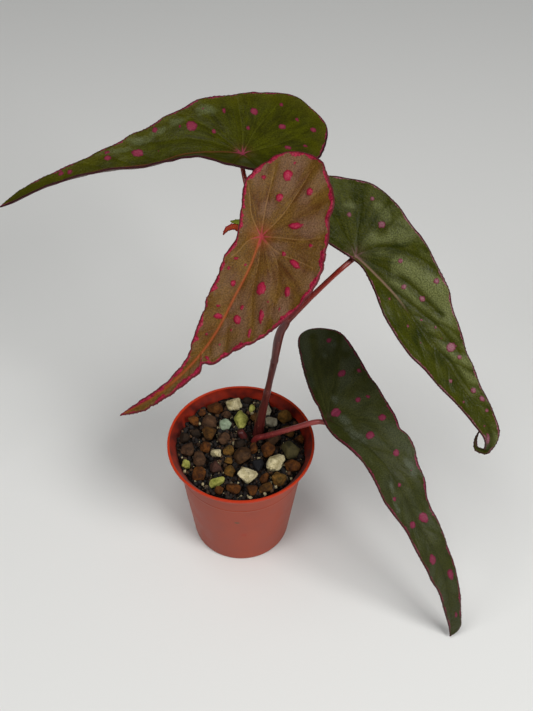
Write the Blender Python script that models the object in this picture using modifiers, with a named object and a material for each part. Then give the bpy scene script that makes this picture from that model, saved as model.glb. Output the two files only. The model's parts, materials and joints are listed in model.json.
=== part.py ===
"""Potted begonia: a small plastic nursery pot of gravelly soil, with one leafy cane.

The cane carries three spotted leaves and a young shoot, and a fourth leaf grows on its own
stalk from the soil and hangs over the rim. Lengths are in millimetres and are scaled to
metres when a mesh is made. The origin is the middle of the pot's underside, and Z is up.
"""

import math
import random
from dataclasses import dataclass

import bmesh
import bpy
import numpy as np
from mathutils import Euler, Matrix, Vector, noise

MM = 0.001
GAP = 0.3

# Pot
POT_HEIGHT = 51.3
RIM_RADIUS = 27.5
LIP_HEIGHT = 1.2
LIP_WIDTH = 0.9
FLARE_FOOT = 45.5
FLARE_FOOT_RADIUS = 24.0
FLARE_TOP_RADIUS = 26.9
BASE_RADIUS = 18.9
WALL = 0.8
FLOOR = 1.4
BASE_ROUND = 1.2
FLOOR_ROUND = 0.8
LIP_ROUND = 0.3
POT_STEPS = 48
DRAIN_HOLES = 5
DRAIN_RADIUS = 2.2
DRAIN_RING = 12.0
DRAIN_SIDES = 16

# Soil
SOIL_TOP = 47.6
SOIL_UNEVEN = 0.7
SOIL_WAVES = 0.14
SOIL_GAP = 0.4
SOIL_RINGS = 6
SOIL_STEPS = 30
SOIL_EDGE_DROP = 0.4
HOLE_SIDES = 12
HOLE_GAP = 0.55

# Gravel: the stones that no place is given for fill the largest gaps one by one
GRAVEL_SEED = 11
GRAVEL_TRIES = 2500
LARGEST_FILLER = 2.8
FLATTEST_FILLER = 0.8
FILLERS = 27
GRAINS = 26
LARGEST_GRAIN = 1.0
GRAVEL_GAP = 0.4
STONE_SEAT = 0.36
STONE_BUMP = 0.14
STONE_LUMPS = 1.3
STONE_STEP = 3.7
STONE_TILT = 0.25

# Leaves
BLADE_THICKNESS = 0.66
RIM_THICKNESS = 1.1
ROWS_ALONG = 29
ROWS_AROUND = 26
COLUMNS = (0.0, 0.34, 0.62, 0.86, 1.0)
TOOTH = 0.35
YOUNG_ROWS_ALONG = 8
YOUNG_ROWS_AROUND = 6
YOUNG_COLUMNS = (0.0, 0.5, 1.0)
YOUNG_TOOTH = 0.25
FOLD_ROUND = 1.5
FOLD_ROUND_BEHIND = 0.4
LOBE_DROOP = 0.003
LOBE_VEINS = 5
RIPPLE_RATE = 2.4
RIPPLE_START = 1.0
WELD = 0.02
SPOT_RISE = 0.35
SMALLEST_SPOT = 1.3
TIP_CROWDING = 1.25


@dataclass
class Leaf:
    """One blade, drawn flat and then bent along its midrib.

    midrib: points from the end of the stalk to the tip
    face: the way the upper side looks
    wide_side: 1 or -1, the side of the midrib that carries the wide half
    wide_fold, narrow_fold: degrees each half is folded up, from the stalk to the tip
    outline: (along the midrib, out from it) from the tip round the wide half and back
    fan: the outline points between which every vein starts at the stalk
    spots: (along, out, radius along, radius out)
    """

    name: str
    midrib: list
    face: tuple
    wide_side: int
    wide_fold: tuple
    narrow_fold: tuple
    outline: list
    fan: tuple
    spots: tuple = ()
    veins: int = 6
    quilt: float = 0.7
    wave: float = 0.5
    colour: str = "#3b4a12"


LEAF_FRONT = Leaf(
    name="leaf_front",
    midrib=[(6.7, -6, 156.3), (3.8, -12, 150.3), (0, -19, 145.8), (-8.5, -30, 134.4),
            (-19.7, -37, 124.2), (-35, -40, 113.4)],
    face=(-0.25, -0.65, 0.72),
    wide_side=-1,
    wide_fold=(14, 14, 8),
    narrow_fold=(12, 14, 10),
    outline=[(72, 0), (65, 1.9), (56, 2.2), (47, 2.9), (43.4, 3.3), (41.2, 2.4), (39.2, 4.8),
             (34, 7.4), (27, 13.3), (20, 18.1), (12.5, 21.5), (3, 22.3), (-5, 20.7), (-10, 18.8),
             (-16, 18), (-22, 13.4), (-26.5, 9), (-27.5, 2.5), (-24.5, -4), (-20, -7.8), (-13.5, -10),
             (-3, -7.5), (2, -6.7), (8, -7.7), (22, -6.9), (36, -4.8), (43, -2.2), (52, -1.2),
             (62, -0.8)],
    fan=(10, 22),
    spots=((-19.5, 1, 1.8, 1.5), (-17, 9.5, 1.2, 1.2), (-12.5, 1.5, 1.2, 1.2), (-6, 9.5, 1.2, 2.2),
           (4.5, 13.5, 1.2, 1.6), (15, 6.5, 1.9, 1.6), (13, 15, 1.4, 1.1), (21.5, 11, 1.4, 1.2),
           (25.5, 4, 1.1, 1.4), (27, -2, 1, 1)),
    quilt=0.9,
    wave=0.6,
    colour="#6e5232",
)

LEAF_BACK = Leaf(
    name="leaf_back",
    midrib=[(0, 33, 157.5), (-8, 32, 158.5), (-16.5, 31, 158.5), (-29, 29, 155.5), (-44, 27, 154.5),
            (-61, 24.5, 150.5), (-78.5, 22, 142.5)],
    face=(0, 0, 1),
    wide_side=1,
    wide_fold=(20, 18, 10),
    narrow_fold=(20, 38, 42, 42, 38),
    outline=[(82, 0), (74, 2.6), (65, 3.5), (55, 4.9), (43, 8.3), (32.5, 13.4), (25.5, 15), (19, 17),
             (12.5, 20.5), (0.5, 23.2), (-14.5, 26.8), (-20.5, 26.2), (-25, 23.8), (-28.8, 20),
             (-30, 15.5), (-26, 3), (-18, -8), (-10, -13.5), (-1.5, -15.5), (5, -17), (14, -13),
             (26, -9.5), (40, -8), (55, -6.5), (68, -4), (76, -1.5)],
    fan=(8, 19),
    spots=((-5, 17, 1.4, 1.4), (-14, 13, 1.4, 1.1), (-25, 14, 1.1, 1.3), (8.5, 8, 0.9, 1),
           (15.5, 10.5, 1.7, 2), (26, 12.5, 1.1, 1.2), (33.5, 5, 2, 1.6), (43.5, 4.5, 1.2, 1.1),
           (57, 3.5, 1, 0.9), (-15.5, 4, 1.2, 1)),
    colour="#47500a",
)

LEAF_RIGHT = Leaf(
    name="leaf_right",
    midrib=[(37.2, 12, 133.3), (44, 7.5, 129), (50, 3.5, 124.5), (57.5, -1.5, 116.5),
            (64, -5.5, 110), (72.5, -11.5, 99), (81, -17, 89), (85, -20, 82), (85.5, -20, 76),
            (84.6, -19.2, 72.4), (82.5, -18.3, 72.3), (81.3, -17.6, 76.3), (81.9, -17, 80.7)],
    face=(0, -0.45, 0.9),
    wide_side=-1,
    wide_fold=(18, 18, 10),
    narrow_fold=(18, 20, 10),
    outline=[(99, 0), (92, 0.5), (86.5, 0.9), (82, 1.7), (77, 3.2), (66, 4.6), (52.5, 7), (45, 8.2),
             (38.5, 10.3), (30.5, 13.6), (21, 16), (12.5, 18.2), (-2.5, 20.8), (-9, 21.2),
             (-15.5, 19), (-24.3, 13.3), (-29, 6), (-25, -1.5), (-16, -4), (-8.5, -3), (-0.5, -1.5),
             (4, -1.2), (8.5, -2.8), (17.5, -7.1), (25, -8.9), (34, -9.8), (43, -8.5), (56, -5.7),
             (70, -3.8), (79, -2), (84.5, -1), (92, -0.5)],
    fan=(11, 20),
    spots=((-1, 13, 1.3, 1.2), (22.5, 13, 0.9, 1.1), (17.5, 4, 1, 1), (24.5, 6.5, 1.1, 1),
           (43, 4.5, 1.6, 1.8), (47.5, 5, 1, 0.9), (60.5, 2.8, 1.1, 1), (64.5, 3.4, 1.1, 0.9)),
    colour="#4a5a26",
)

LEAF_LOW = Leaf(
    name="leaf_low",
    midrib=[(31.3, -4, 70), (37, -9.5, 70.5), (45, -17.5, 71), (52, -24.5, 68), (57, -29.5, 61.5),
            (62, -34, 52.5), (68.5, -40.5, 44), (72, -43.5, 37), (77.5, -49.5, 16), (79.5, -51, 1.4)],
    face=(0, -0.2, 1),
    wide_side=-1,
    wide_fold=(12, 12, 10),
    narrow_fold=(15, 15, 12),
    outline=[(109, 0), (106, 3.4), (98, 3.9), (82, 4.4), (67, 4.9), (52.5, 6.6), (45, 7),
             (38.5, 8.8), (32.5, 9.9), (29, 11.6), (25, 12.5), (22, 12.3), (18, 14.9), (8, 19.1),
             (-6, 25), (-13, 28.5), (-21, 30.8), (-27, 30.7), (-32, 28), (-35.5, 23.5), (-26, 14.2),
             (-11, 4), (-4.5, 1), (0, -1.8), (6, -4.3), (16.5, -5.6), (22, -5.8), (31, -8.1),
             (37, -8.4), (51.5, -6), (64, -6.5), (72.5, -5.7), (81, -3.5), (94, -1.7), (103, -0.4)],
    fan=(13, 23),
    spots=((-23, 26.5, 1.2, 1.2), (-8, 17, 1.6, 1.6), (-3, 21, 1, 1), (4.5, 11.5, 1.1, 1.1),
           (2.5, 4, 1.6, 1.6), (15.5, 11.5, 1.3, 1.4), (16.5, 3.5, 1.5, 1.5), (27, 5.5, 1.1, 1.3),
           (51.5, 2.8, 2.2, 1.6), (51.5, -2.5, 1.4, 1.2), (66, -2.3, 2, 1.3), (76, 2.4, 2.2, 1.1)),
    colour="#26301c",
)

YOUNG_LEAF = Leaf(
    name="young_leaf",
    midrib=[(0.2, 12.8, 142.4), (-2.2, 12.4, 144.2), (-4.2, 12.1, 143.6), (-5.7, 11.6, 141.4)],
    face=(-0.1, -0.5, 0.85),
    wide_side=-1,
    wide_fold=(40, 45, 30),
    narrow_fold=(40, 45, 30),
    outline=[(7.6, 0), (5.6, 0.5), (3, 0.8), (0.5, 0.7), (-0.7, 0), (0.5, -0.7), (3, -0.8), (5.6, -0.5)],
    fan=(3, 5),
    quilt=0.0,
    wave=0.25,
    colour="#a8341c",
)

STIPULE = Leaf(
    name="stipule",
    midrib=[(1.6, 15.6, 141.2), (-0.4, 15.8, 143.2), (-3.3, 15.3, 144.1)],
    face=(-0.2, -0.9, 0.4),
    wide_side=1,
    wide_fold=(25, 20),
    narrow_fold=(25, 20),
    outline=[(6, 0), (4, 0.6), (1.5, 0.9), (-0.6, 0), (1.5, -0.9), (4, -0.6)],
    fan=(2, 4),
    quilt=0.0,
    wave=0.0,
    colour="#9aa83c",
)

LEAVES = (LEAF_FRONT, LEAF_BACK, LEAF_RIGHT, LEAF_LOW)

# Cane and stalks: points and radii from the soil upwards
CANE_POINTS = [(6.2, 6.5, 35), (6.2, 6.5, 47), (6.9, 6.4, 54.5), (9.4, 6.2, 72), (11.7, 6, 89),
               (13.7, 5.7, 104.5), (15.4, 5.5, 109.5), (13.4, 7.2, 116), (9, 9.5, 124),
               (4, 11.8, 132), (0.4, 13.6, 139.6)]
CANE_RADII = (2.0, 2.1, 1.75, 1.3, 1.15, 1.3, 1.6, 1.25, 1.35, 1.0, 0.8)
STALK_TO_RIGHT = [(15.4, 5.5, 109.5), (18.4, 6.2, 113.2), (24.8, 8, 120.6), (32.2, 10.3, 128.6)]
STALK_TO_FRONT = [(9, 9.5, 124), (9.2, 6.5, 131), (8.2, 2.5, 141)]
STALK_TO_BACK = [(3, 12.3, 133.5), (2.6, 18, 138.6), (1.4, 27, 148.8)]
STALK_TO_LOW = [(4.3, 3.1, 37), (4.3, 3, 45.5), (5.4, 2.5, 49.6), (10, 1.2, 53.4), (20, -1.5, 61.7),
                (28, -3.2, 67.3)]
BASE_STUB = [(0.6, 5.2, 38), (0.6, 5.2, 47.4), (-0.5, 5.5, 50.4)]
STUB_RADII = (1.6, 2.1, 1.2)
STALK_RISE = 1.2
STEMS = ((CANE_POINTS, 2.0), (STALK_TO_LOW, 1.4), (BASE_STUB, 2.1))
STALK_SAMPLES = 12
LOW_STALK_SAMPLES = 18
CANE_SAMPLES = 26
STUB_SAMPLES = 7

# Stones that stand out: middle x and y, width, depth, turn in degrees, key to STONE_COLOURS
STONES = (
    (-3.3, 19.4, 7.0, 5.4, 8, "cream"), (-0.4, 12.1, 5.4, 7.2, 4, "lime"),
    (-6.3, 9.7, 5.0, 4.4, 20, "mint"), (3.7, 18.3, 2.6, 4.6, -12, "lime"),
    (-12.6, 10.7, 5.8, 5.2, 15, "taupe"), (-17.2, 5.3, 4.6, 3.6, -20, "dark"),
    (-13.2, -1.3, 4.2, 5.2, 12, "rust"), (-6.6, 2.3, 5.0, 4.8, 0, "taupe"),
    (-9.0, -4.1, 4.4, 3.8, 25, "cream"), (0.6, -5.5, 6.6, 6.2, 0, "umber"),
    (6.6, -8.9, 4.0, 6.2, 10, "slate"), (10.2, -2.1, 5.4, 5.4, 0, "rust"),
    (12.6, -8.5, 5.6, 8.4, -35, "cream"), (2.6, -14.7, 8.0, 5.4, 6, "cream"),
    (18.8, -2.5, 6.6, 6.6, 18, "olive"), (11.2, 11.1, 5.0, 4.2, -10, "pale"),
    (9.6, -19.5, 5.4, 3.4, 25, "brown"), (-8.4, -16.9, 6.2, 3.2, 35, "lime"),
    (-8.8, -10.5, 4.8, 5.0, 0, "mauve"), (-20.0, -9.5, 3.2, 4.0, 25, "lime"),
)
STONE_COLOURS = {
    "cream": "#b3a07a", "lime": "#a3a04a", "mint": "#9aa590", "brown": "#5c3c24",
    "taupe": "#6b5a4a", "tan": "#8a6a42", "dark": "#33261c", "rust": "#7a4022",
    "umber": "#4a3426", "slate": "#2b2b30", "olive": "#6a6448", "pale": "#9c9482",
    "mauve": "#6e4c42",
}
FILLER_COLOURS = ("brown", "rust", "dark", "umber", "brown", "tan", "dark", "pale", "rust", "taupe")
STONE_FLATNESS = 0.78
STONE_EXTRA = 0.6
BIG_STONE = 5.3


def clear_scene():
    for obj in list(bpy.data.objects):
        bpy.data.objects.remove(obj, do_unlink=True)


def new_collection(name, hidden=False):
    collection = bpy.data.collections.new(name)
    bpy.context.scene.collection.children.link(collection)
    collection.hide_render = hidden
    return collection


def linear(hex_colour):
    """The linear RGBA of an sRGB colour such as #a0b1c2."""
    channels = [int(hex_colour[i:i + 2], 16) / 255 for i in (1, 3, 5)]
    return [c / 12.92 if c <= 0.04045 else ((c + 0.055) / 1.055) ** 2.4 for c in channels] + [1]


def set_material(obj, hex_colour, roughness, metallic=0.0):
    material = bpy.data.materials.new(obj.name)
    material.use_nodes = True
    shader = material.node_tree.nodes["Principled BSDF"]
    shader.inputs["Base Color"].default_value = linear(hex_colour)
    shader.inputs["Roughness"].default_value = roughness
    shader.inputs["Metallic"].default_value = metallic
    obj.data.materials.clear()
    obj.data.materials.append(material)


def mesh_object(name, points, faces, collection):
    """An object from points in millimetres."""
    mesh = bpy.data.meshes.new(name)
    mesh.from_pydata([Vector(p) * MM for p in points], [], faces)
    mesh.validate()
    obj = bpy.data.objects.new(name, mesh)
    collection.objects.link(obj)
    return obj


def applied(obj):
    """The object with its modifiers and its transform written into its mesh."""
    bpy.context.view_layer.update()
    graph = bpy.context.evaluated_depsgraph_get()
    mesh = bpy.data.meshes.new_from_object(obj.evaluated_get(graph))
    mesh.transform(obj.matrix_world)
    obj.modifiers.clear()
    obj.data = mesh
    obj.matrix_world = Matrix.Identity(4)
    return obj


def tidy_mesh(obj, distance=1e-6):
    """Welds points that meet and turns the faces outwards."""
    work = bmesh.new()
    work.from_mesh(obj.data)
    bmesh.ops.remove_doubles(work, verts=work.verts, dist=distance)
    bmesh.ops.dissolve_degenerate(work, edges=work.edges, dist=distance)
    bmesh.ops.recalc_face_normals(work, faces=work.faces)
    work.to_mesh(obj.data)
    work.free()


def joined(obj, others, operation="UNION", solver="EXACT"):
    """The object with one Boolean against all the others, which are then removed."""
    bag = bpy.data.collections.new(obj.name + "_others")
    bpy.context.scene.collection.children.link(bag)
    for other in others:
        for home in list(other.users_collection):
            home.objects.unlink(other)
        bag.objects.link(other)
    boolean = obj.modifiers.new("Boolean", "BOOLEAN")
    boolean.operation = operation
    boolean.operand_type = "COLLECTION"
    boolean.collection = bag
    boolean.solver = solver
    applied(obj)
    for other in list(bag.objects):
        bpy.data.objects.remove(other, do_unlink=True)
    bpy.data.collections.remove(bag)
    return obj


def smooth_through(knots, values, at):
    """A cubic through the values at the knots, and straight on beyond both ends."""
    knots = np.asarray(knots, float)
    values = np.asarray(values, float)
    step = np.diff(knots)
    slope = np.diff(values, axis=0) / step[:, None]
    tangent = np.empty_like(values)
    tangent[0], tangent[-1] = slope[0], slope[-1]
    weight = (step[:-1] + step[1:])[:, None]
    tangent[1:-1] = (slope[:-1] * step[1:, None] + slope[1:] * step[:-1, None]) / weight
    at = np.asarray(at, float)
    i = np.clip(np.searchsorted(knots, at) - 1, 0, len(step) - 1)
    h = step[i][:, None]
    s = ((np.clip(at, knots[0], knots[-1]) - knots[i]) / step[i])[:, None]
    inside = (values[i] * (1 + 2 * s) * (1 - s) ** 2 + tangent[i] * h * s * (1 - s) ** 2
              + values[i + 1] * s ** 2 * (3 - 2 * s) + tangent[i + 1] * h * s ** 2 * (s - 1))
    before = np.minimum(at - knots[0], 0)[:, None] * tangent[0]
    after = np.maximum(at - knots[-1], 0)[:, None] * tangent[-1]
    return inside + before + after


def chord_knots(points, power=1.0):
    steps = np.linalg.norm(np.diff(np.asarray(points, float), axis=0), axis=1) ** power
    return np.concatenate([[0], np.cumsum(steps)])


def turned(name, profile, steps, collection):
    """A body turned about Z from a profile of (radius, height), down its outer side."""
    edges = [(i, i + 1) for i in range(len(profile) - 1)]
    mesh = bpy.data.meshes.new(name)
    mesh.from_pydata([(r * MM, 0, z * MM) for r, z in profile], edges, [])
    obj = bpy.data.objects.new(name, mesh)
    collection.objects.link(obj)
    screw = obj.modifiers.new("Screw", "SCREW")
    screw.steps = screw.render_steps = steps
    screw.use_merge_vertices = True
    screw.merge_threshold = 1e-5
    return obj


def cylinder(name, radius, bottom, top, x, y, sides, collection):
    mesh = bpy.data.meshes.new(name)
    work = bmesh.new()
    bmesh.ops.create_cone(work, cap_ends=True, segments=sides, radius1=radius * MM,
                          radius2=radius * MM, depth=(top - bottom) * MM)
    work.to_mesh(mesh)
    work.free()
    obj = bpy.data.objects.new(name, mesh)
    obj.location = (x * MM, y * MM, (top + bottom) / 2 * MM)
    collection.objects.link(obj)
    return obj


def tube(name, points, radii, collection, samples=STALK_SAMPLES, resolution=2):
    """A round stalk through the points, as a closed mesh."""
    knots = chord_knots(points)
    at = np.linspace(0, knots[-1], samples)
    path = smooth_through(knots, points, at)
    radius = np.interp(at, np.linspace(0, knots[-1], len(radii)), radii)
    curve = bpy.data.curves.new(name, "CURVE")
    curve.dimensions = "3D"
    curve.bevel_depth = MM
    curve.bevel_resolution = resolution
    curve.use_fill_caps = True
    spline = curve.splines.new("POLY")
    spline.points.add(samples - 1)
    for point, place, r in zip(spline.points, path, radius):
        point.co = (*(place * MM), 1)
        point.radius = r
    guide = bpy.data.objects.new(name + "_guide", curve)
    collection.objects.link(guide)
    bpy.context.view_layer.update()
    graph = bpy.context.evaluated_depsgraph_get()
    mesh = bpy.data.meshes.new_from_object(guide.evaluated_get(graph))
    obj = bpy.data.objects.new(name, mesh)
    bpy.data.objects.remove(guide, do_unlink=True)
    collection.objects.link(obj)
    tidy_mesh(obj)
    return obj


def fold_at(leaf, folds, along):
    """The fold in radians at each place along the midrib."""
    places = np.linspace(0, chord_knots(leaf.midrib)[-1], len(folds))
    values = smooth_through(places, np.array(folds, float)[:, None],
                            np.clip(along, 0, places[-1]))
    return np.radians(values[:, 0])


def blade_points(leaf, along, out, lift):
    """Points of the bent blade, from flat places (along, out) and a height above it."""
    knots = chord_knots(leaf.midrib)
    spine = smooth_through(knots, leaf.midrib, along)
    tangent = (smooth_through(knots, leaf.midrib, along + 0.5)
               - smooth_through(knots, leaf.midrib, along - 0.5))
    tangent /= np.linalg.norm(tangent, axis=1, keepdims=True)
    face = np.array(leaf.face)
    normal = face - (tangent @ face)[:, None] * tangent
    normal /= np.linalg.norm(normal, axis=1, keepdims=True)
    side = np.cross(tangent, normal) * leaf.wide_side
    behind = np.clip(-along, 0, None)
    rounding = FOLD_ROUND + FOLD_ROUND_BEHIND * behind
    run = np.sqrt(out * out + rounding * rounding) - rounding
    fold = np.where(out > 0, fold_at(leaf, leaf.wide_fold, along),
                    fold_at(leaf, leaf.narrow_fold, along))
    across = out - np.sign(out) * run * (1 - np.cos(fold))
    height = run * np.sin(fold) + lift - LOBE_DROOP * behind ** 2
    return spine + across[:, None] * side + height[:, None] * normal


def blade_rows(leaf, rows_along, rows_around):
    """Each row's place on the midrib and its end on the outline, tip to tip round the leaf."""
    outline = np.array(leaf.outline + leaf.outline[:1], float)
    knots = chord_knots(outline, 0.5)
    dense = np.linspace(0, knots[-1], 800)
    edge = smooth_through(knots, outline, dense)
    length = chord_knots(edge)
    fan = np.interp(knots[list(leaf.fan)], dense, length)
    share = np.linspace(0, 1, rows_along + 1) ** TIP_CROWDING
    back = length[-1] - (length[-1] - fan[1]) * share[:0:-1]
    places = np.concatenate([fan[0] * share,
                             np.linspace(fan[0], fan[1], rows_around + 1)[1:-1], back])
    tip = outline[0, 0]
    feet = tip * np.concatenate([1 - share, np.zeros(rows_around - 1), 1 - share[:0:-1]])
    ends = np.stack([np.interp(places, length, edge[:, i]) for i in (0, 1)], axis=1)
    return feet, ends


def blade_lift(leaf, row_count, columns):
    """Blisters between the veins, which are valleys, and the waves of the margin."""
    row = np.arange(row_count)[:, None]
    vein_phase = np.pi * row * (2 * leaf.veins + LOBE_VEINS) / row_count
    across = np.array(columns)[None, :]
    blister = leaf.quilt * np.abs(np.sin(vein_phase)) * 2 * across * (1 - across)
    ripple = leaf.wave * np.sin(RIPPLE_RATE * vein_phase + RIPPLE_START) * across ** 3
    return blister + ripple


def blade(leaf, collection, rows_along=ROWS_ALONG, rows_around=ROWS_AROUND, columns=COLUMNS,
          tooth=TOOTH):
    """A blade as one closed mesh, thicker along its toothed margin."""
    feet, ends = blade_rows(leaf, rows_along, rows_around)
    count = len(feet)
    starts = np.stack([feet, np.zeros(count)], axis=1)
    reach = np.linalg.norm(ends - starts, axis=1, keepdims=True)
    toothed = (np.arange(count) % 2)[:, None] * tooth / np.maximum(reach, 1)
    ends = ends + (ends - starts) * toothed
    share = np.array(columns)[None, :, None]
    flat = starts[:, None] * (1 - share) + ends[:, None] * share
    lift = blade_lift(leaf, count, columns)
    points = blade_points(leaf, flat[..., 0].ravel(), flat[..., 1].ravel(), lift.ravel())
    width = len(columns)
    faces = [(a * width + k, a * width + k + 1, b * width + k + 1, b * width + k)
             for a, b in zip(range(count), [*range(1, count), 0]) for k in range(width - 1)]
    obj = mesh_object(leaf.name, points, faces, collection)
    rim = obj.vertex_groups.new(name="rim")
    rim.add([i * width + width - 1 for i in range(count)], 1.0, "REPLACE")
    work = bmesh.new()
    work.from_mesh(obj.data)
    bmesh.ops.remove_doubles(work, verts=work.verts, dist=WELD * MM)
    bmesh.ops.triangulate(work, faces=work.faces, quad_method="FIXED")
    bmesh.ops.recalc_face_normals(work, faces=work.faces)
    work.to_mesh(obj.data)
    work.free()
    solid = obj.modifiers.new("Solidify", "SOLIDIFY")
    solid.thickness = RIM_THICKNESS * MM
    solid.offset = 0
    solid.vertex_group = "rim"
    solid.thickness_vertex_group = BLADE_THICKNESS / RIM_THICKNESS
    applied(obj)
    tidy_mesh(obj)
    return obj


def spot_dome(leaf, spot, collection):
    """A low round pad, half sunk in the upper side of the blade."""
    along, out, radius_along, radius_out = spot
    places = np.array([[along, out], [along + 0.5, out], [along, out + 0.5]])
    middle, ahead, aside = blade_points(leaf, places[:, 0], places[:, 1], np.zeros(3))
    x_axis = Vector(ahead - middle).normalized()
    normal = x_axis.cross(Vector(aside - middle)).normalized()
    if normal.dot(Vector(leaf.face)) < 0:
        normal.negate()
    y_axis = normal.cross(x_axis)
    mesh = bpy.data.meshes.new(leaf.name + "_spot")
    work = bmesh.new()
    bmesh.ops.create_icosphere(work, subdivisions=1, radius=1)
    work.to_mesh(mesh)
    work.free()
    rise = BLADE_THICKNESS / 2 + leaf.quilt / 2 + SPOT_RISE
    frame = Matrix((x_axis, y_axis, normal)).transposed().to_4x4()
    size = Matrix.Diagonal((radius_along * MM, radius_out * MM, rise * MM, 1))
    mesh.transform(Matrix.Translation(Vector(middle) * MM) @ frame @ size)
    obj = bpy.data.objects.new(mesh.name, mesh)
    collection.objects.link(obj)
    return obj


def make_leaf(leaf, collection):
    obj = blade(leaf, collection)
    domes = [spot_dome(leaf, spot, collection) for spot in leaf.spots
             if max(spot[2:]) >= SMALLEST_SPOT]
    joined(obj, domes, solver="MANIFOLD")
    set_material(obj, leaf.colour, 0.35)
    return obj


def make_pot(collection, helpers):
    inner_top = RIM_RADIUS - LIP_WIDTH
    lip_under = POT_HEIGHT - LIP_HEIGHT
    foot = BASE_RADIUS - WALL
    corner = BASE_ROUND * (1 - math.sqrt(0.5))
    profile = [
        (0, FLOOR), (foot - FLOOR_ROUND, FLOOR), (foot, FLOOR + FLOOR_ROUND),
        (FLARE_FOOT_RADIUS - WALL, FLARE_FOOT), (FLARE_TOP_RADIUS - WALL, lip_under),
        (inner_top, POT_HEIGHT - LIP_ROUND), (inner_top + LIP_ROUND, POT_HEIGHT),
        (RIM_RADIUS - LIP_ROUND, POT_HEIGHT), (RIM_RADIUS, POT_HEIGHT - LIP_ROUND),
        (RIM_RADIUS, lip_under + LIP_ROUND), (RIM_RADIUS - LIP_ROUND, lip_under),
        (FLARE_TOP_RADIUS, lip_under), (FLARE_FOOT_RADIUS, FLARE_FOOT), (BASE_RADIUS, BASE_ROUND),
        (BASE_RADIUS - corner, corner), (BASE_RADIUS - BASE_ROUND, 0), (0, 0),
    ]
    pot = turned("pot", profile, POT_STEPS, collection)
    applied(pot)
    tidy_mesh(pot)
    holes = []
    for i in range(DRAIN_HOLES):
        angle = 2 * math.pi * (i + 0.25) / DRAIN_HOLES
        x, y = DRAIN_RING * math.cos(angle), DRAIN_RING * math.sin(angle)
        holes.append(cylinder("drain_hole", DRAIN_RADIUS, -FLOOR, 2 * FLOOR, x, y, DRAIN_SIDES,
                              helpers))
    joined(pot, holes, "DIFFERENCE")
    pot.data.shade_smooth()
    pot.data.set_sharp_from_angle(angle=math.radians(40))
    set_material(pot, "#b8401c", 0.42)
    return pot


def inner_radius(height):
    """The radius of the pot's inner wall at a height."""
    heights = (FLOOR + FLOOR_ROUND, FLARE_FOOT, POT_HEIGHT - LIP_HEIGHT)
    radii = (BASE_RADIUS, FLARE_FOOT_RADIUS, FLARE_TOP_RADIUS)
    return float(np.interp(height, heights, radii)) - WALL


def soil_height(x, y):
    return SOIL_TOP + SOIL_UNEVEN * noise.noise(Vector((x * SOIL_WAVES, y * SOIL_WAVES, 3.1)))


def soil_body(collection):
    """The filling: an uneven top, a side that follows the pot's wall, and a flat bottom."""
    bottom = FLOOR + GAP
    rings = []
    edge = inner_radius(SOIL_TOP - SOIL_EDGE_DROP) - SOIL_GAP
    for k in range(1, SOIL_RINGS + 1):
        radius = edge * k / SOIL_RINGS
        for j in range(SOIL_STEPS):
            angle = 2 * math.pi * j / SOIL_STEPS
            x, y = radius * math.cos(angle), radius * math.sin(angle)
            height = soil_height(x, y) if k < SOIL_RINGS else SOIL_TOP - SOIL_EDGE_DROP
            rings.append((x, y, height))
    bend = inner_radius(FLARE_FOOT) - SOIL_GAP
    low = inner_radius(bottom + BASE_ROUND) - GAP
    side = ((bend, FLARE_FOOT), (low, bottom + BASE_ROUND), (low - BASE_ROUND, bottom))
    for radius, height in side:
        for j in range(SOIL_STEPS):
            angle = 2 * math.pi * j / SOIL_STEPS
            rings.append((radius * math.cos(angle), radius * math.sin(angle), height))
    top, foot = len(rings), len(rings) + 1
    points = rings + [(0, 0, soil_height(0, 0)), (0, 0, bottom)]
    faces = []
    last = SOIL_RINGS + len(side) - 1
    for j in range(SOIL_STEPS):
        after = (j + 1) % SOIL_STEPS
        faces.append((top, j, after))
        for k in range(last):
            inner, outer = k * SOIL_STEPS, (k + 1) * SOIL_STEPS
            faces.append((inner + j, outer + j, outer + after, inner + after))
        faces.append((foot, last * SOIL_STEPS + after, last * SOIL_STEPS + j))
    soil = mesh_object("soil", points, faces, collection)
    tidy_mesh(soil)
    return soil


def gaps_to(taken, x, y):
    """How far each place is from the nearest thing: (middle x, y, half width, half depth, turn)."""
    nearest = inner_radius(SOIL_TOP) - np.hypot(x, y)
    for mid_x, mid_y, half_width, half_depth, turn in taken:
        angle = np.arctan2(y - mid_y, x - mid_x) - math.radians(turn)
        edge = 1 / np.hypot(np.cos(angle) / half_width, np.sin(angle) / half_depth)
        nearest = np.minimum(nearest, np.hypot(x - mid_x, y - mid_y) - edge)
    return nearest


def gravel():
    """Every stone (x, y, width, depth, turn, colour key), then every grain (x, y, radius)."""
    draw = random.Random(GRAVEL_SEED)
    reach = inner_radius(SOIL_TOP)
    radius = np.array([reach * math.sqrt(draw.random()) for _ in range(GRAVEL_TRIES)])
    angle = np.array([draw.uniform(0, 2 * math.pi) for _ in range(GRAVEL_TRIES)])
    x, y = radius * np.cos(angle), radius * np.sin(angle)
    taken = [(a, b, w / 2, d / 2, turn) for a, b, w, d, turn, _ in STONES]
    taken += [(*path[1][:2], r + GRAVEL_GAP, r + GRAVEL_GAP, 0) for path, r in STEMS]
    stones, small = list(STONES), []
    for i in range(FILLERS + GRAINS):
        room = gaps_to(taken, x, y) - GRAVEL_GAP
        best = int(np.argmax(room))
        size = min(room[best], LARGEST_FILLER if i < FILLERS else LARGEST_GRAIN)
        place = (float(x[best]), float(y[best]))
        if i < FILLERS:
            depth = size * draw.uniform(FLATTEST_FILLER, 1)
            turn = draw.uniform(0, 180)
            stones.append((*place, 2 * size, 2 * depth, turn, draw.choice(FILLER_COLOURS)))
            taken.append((*place, size, depth, turn))
        else:
            small.append((*place, size))
            taken.append((*place, size, size, 0))
    return stones, small


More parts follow.
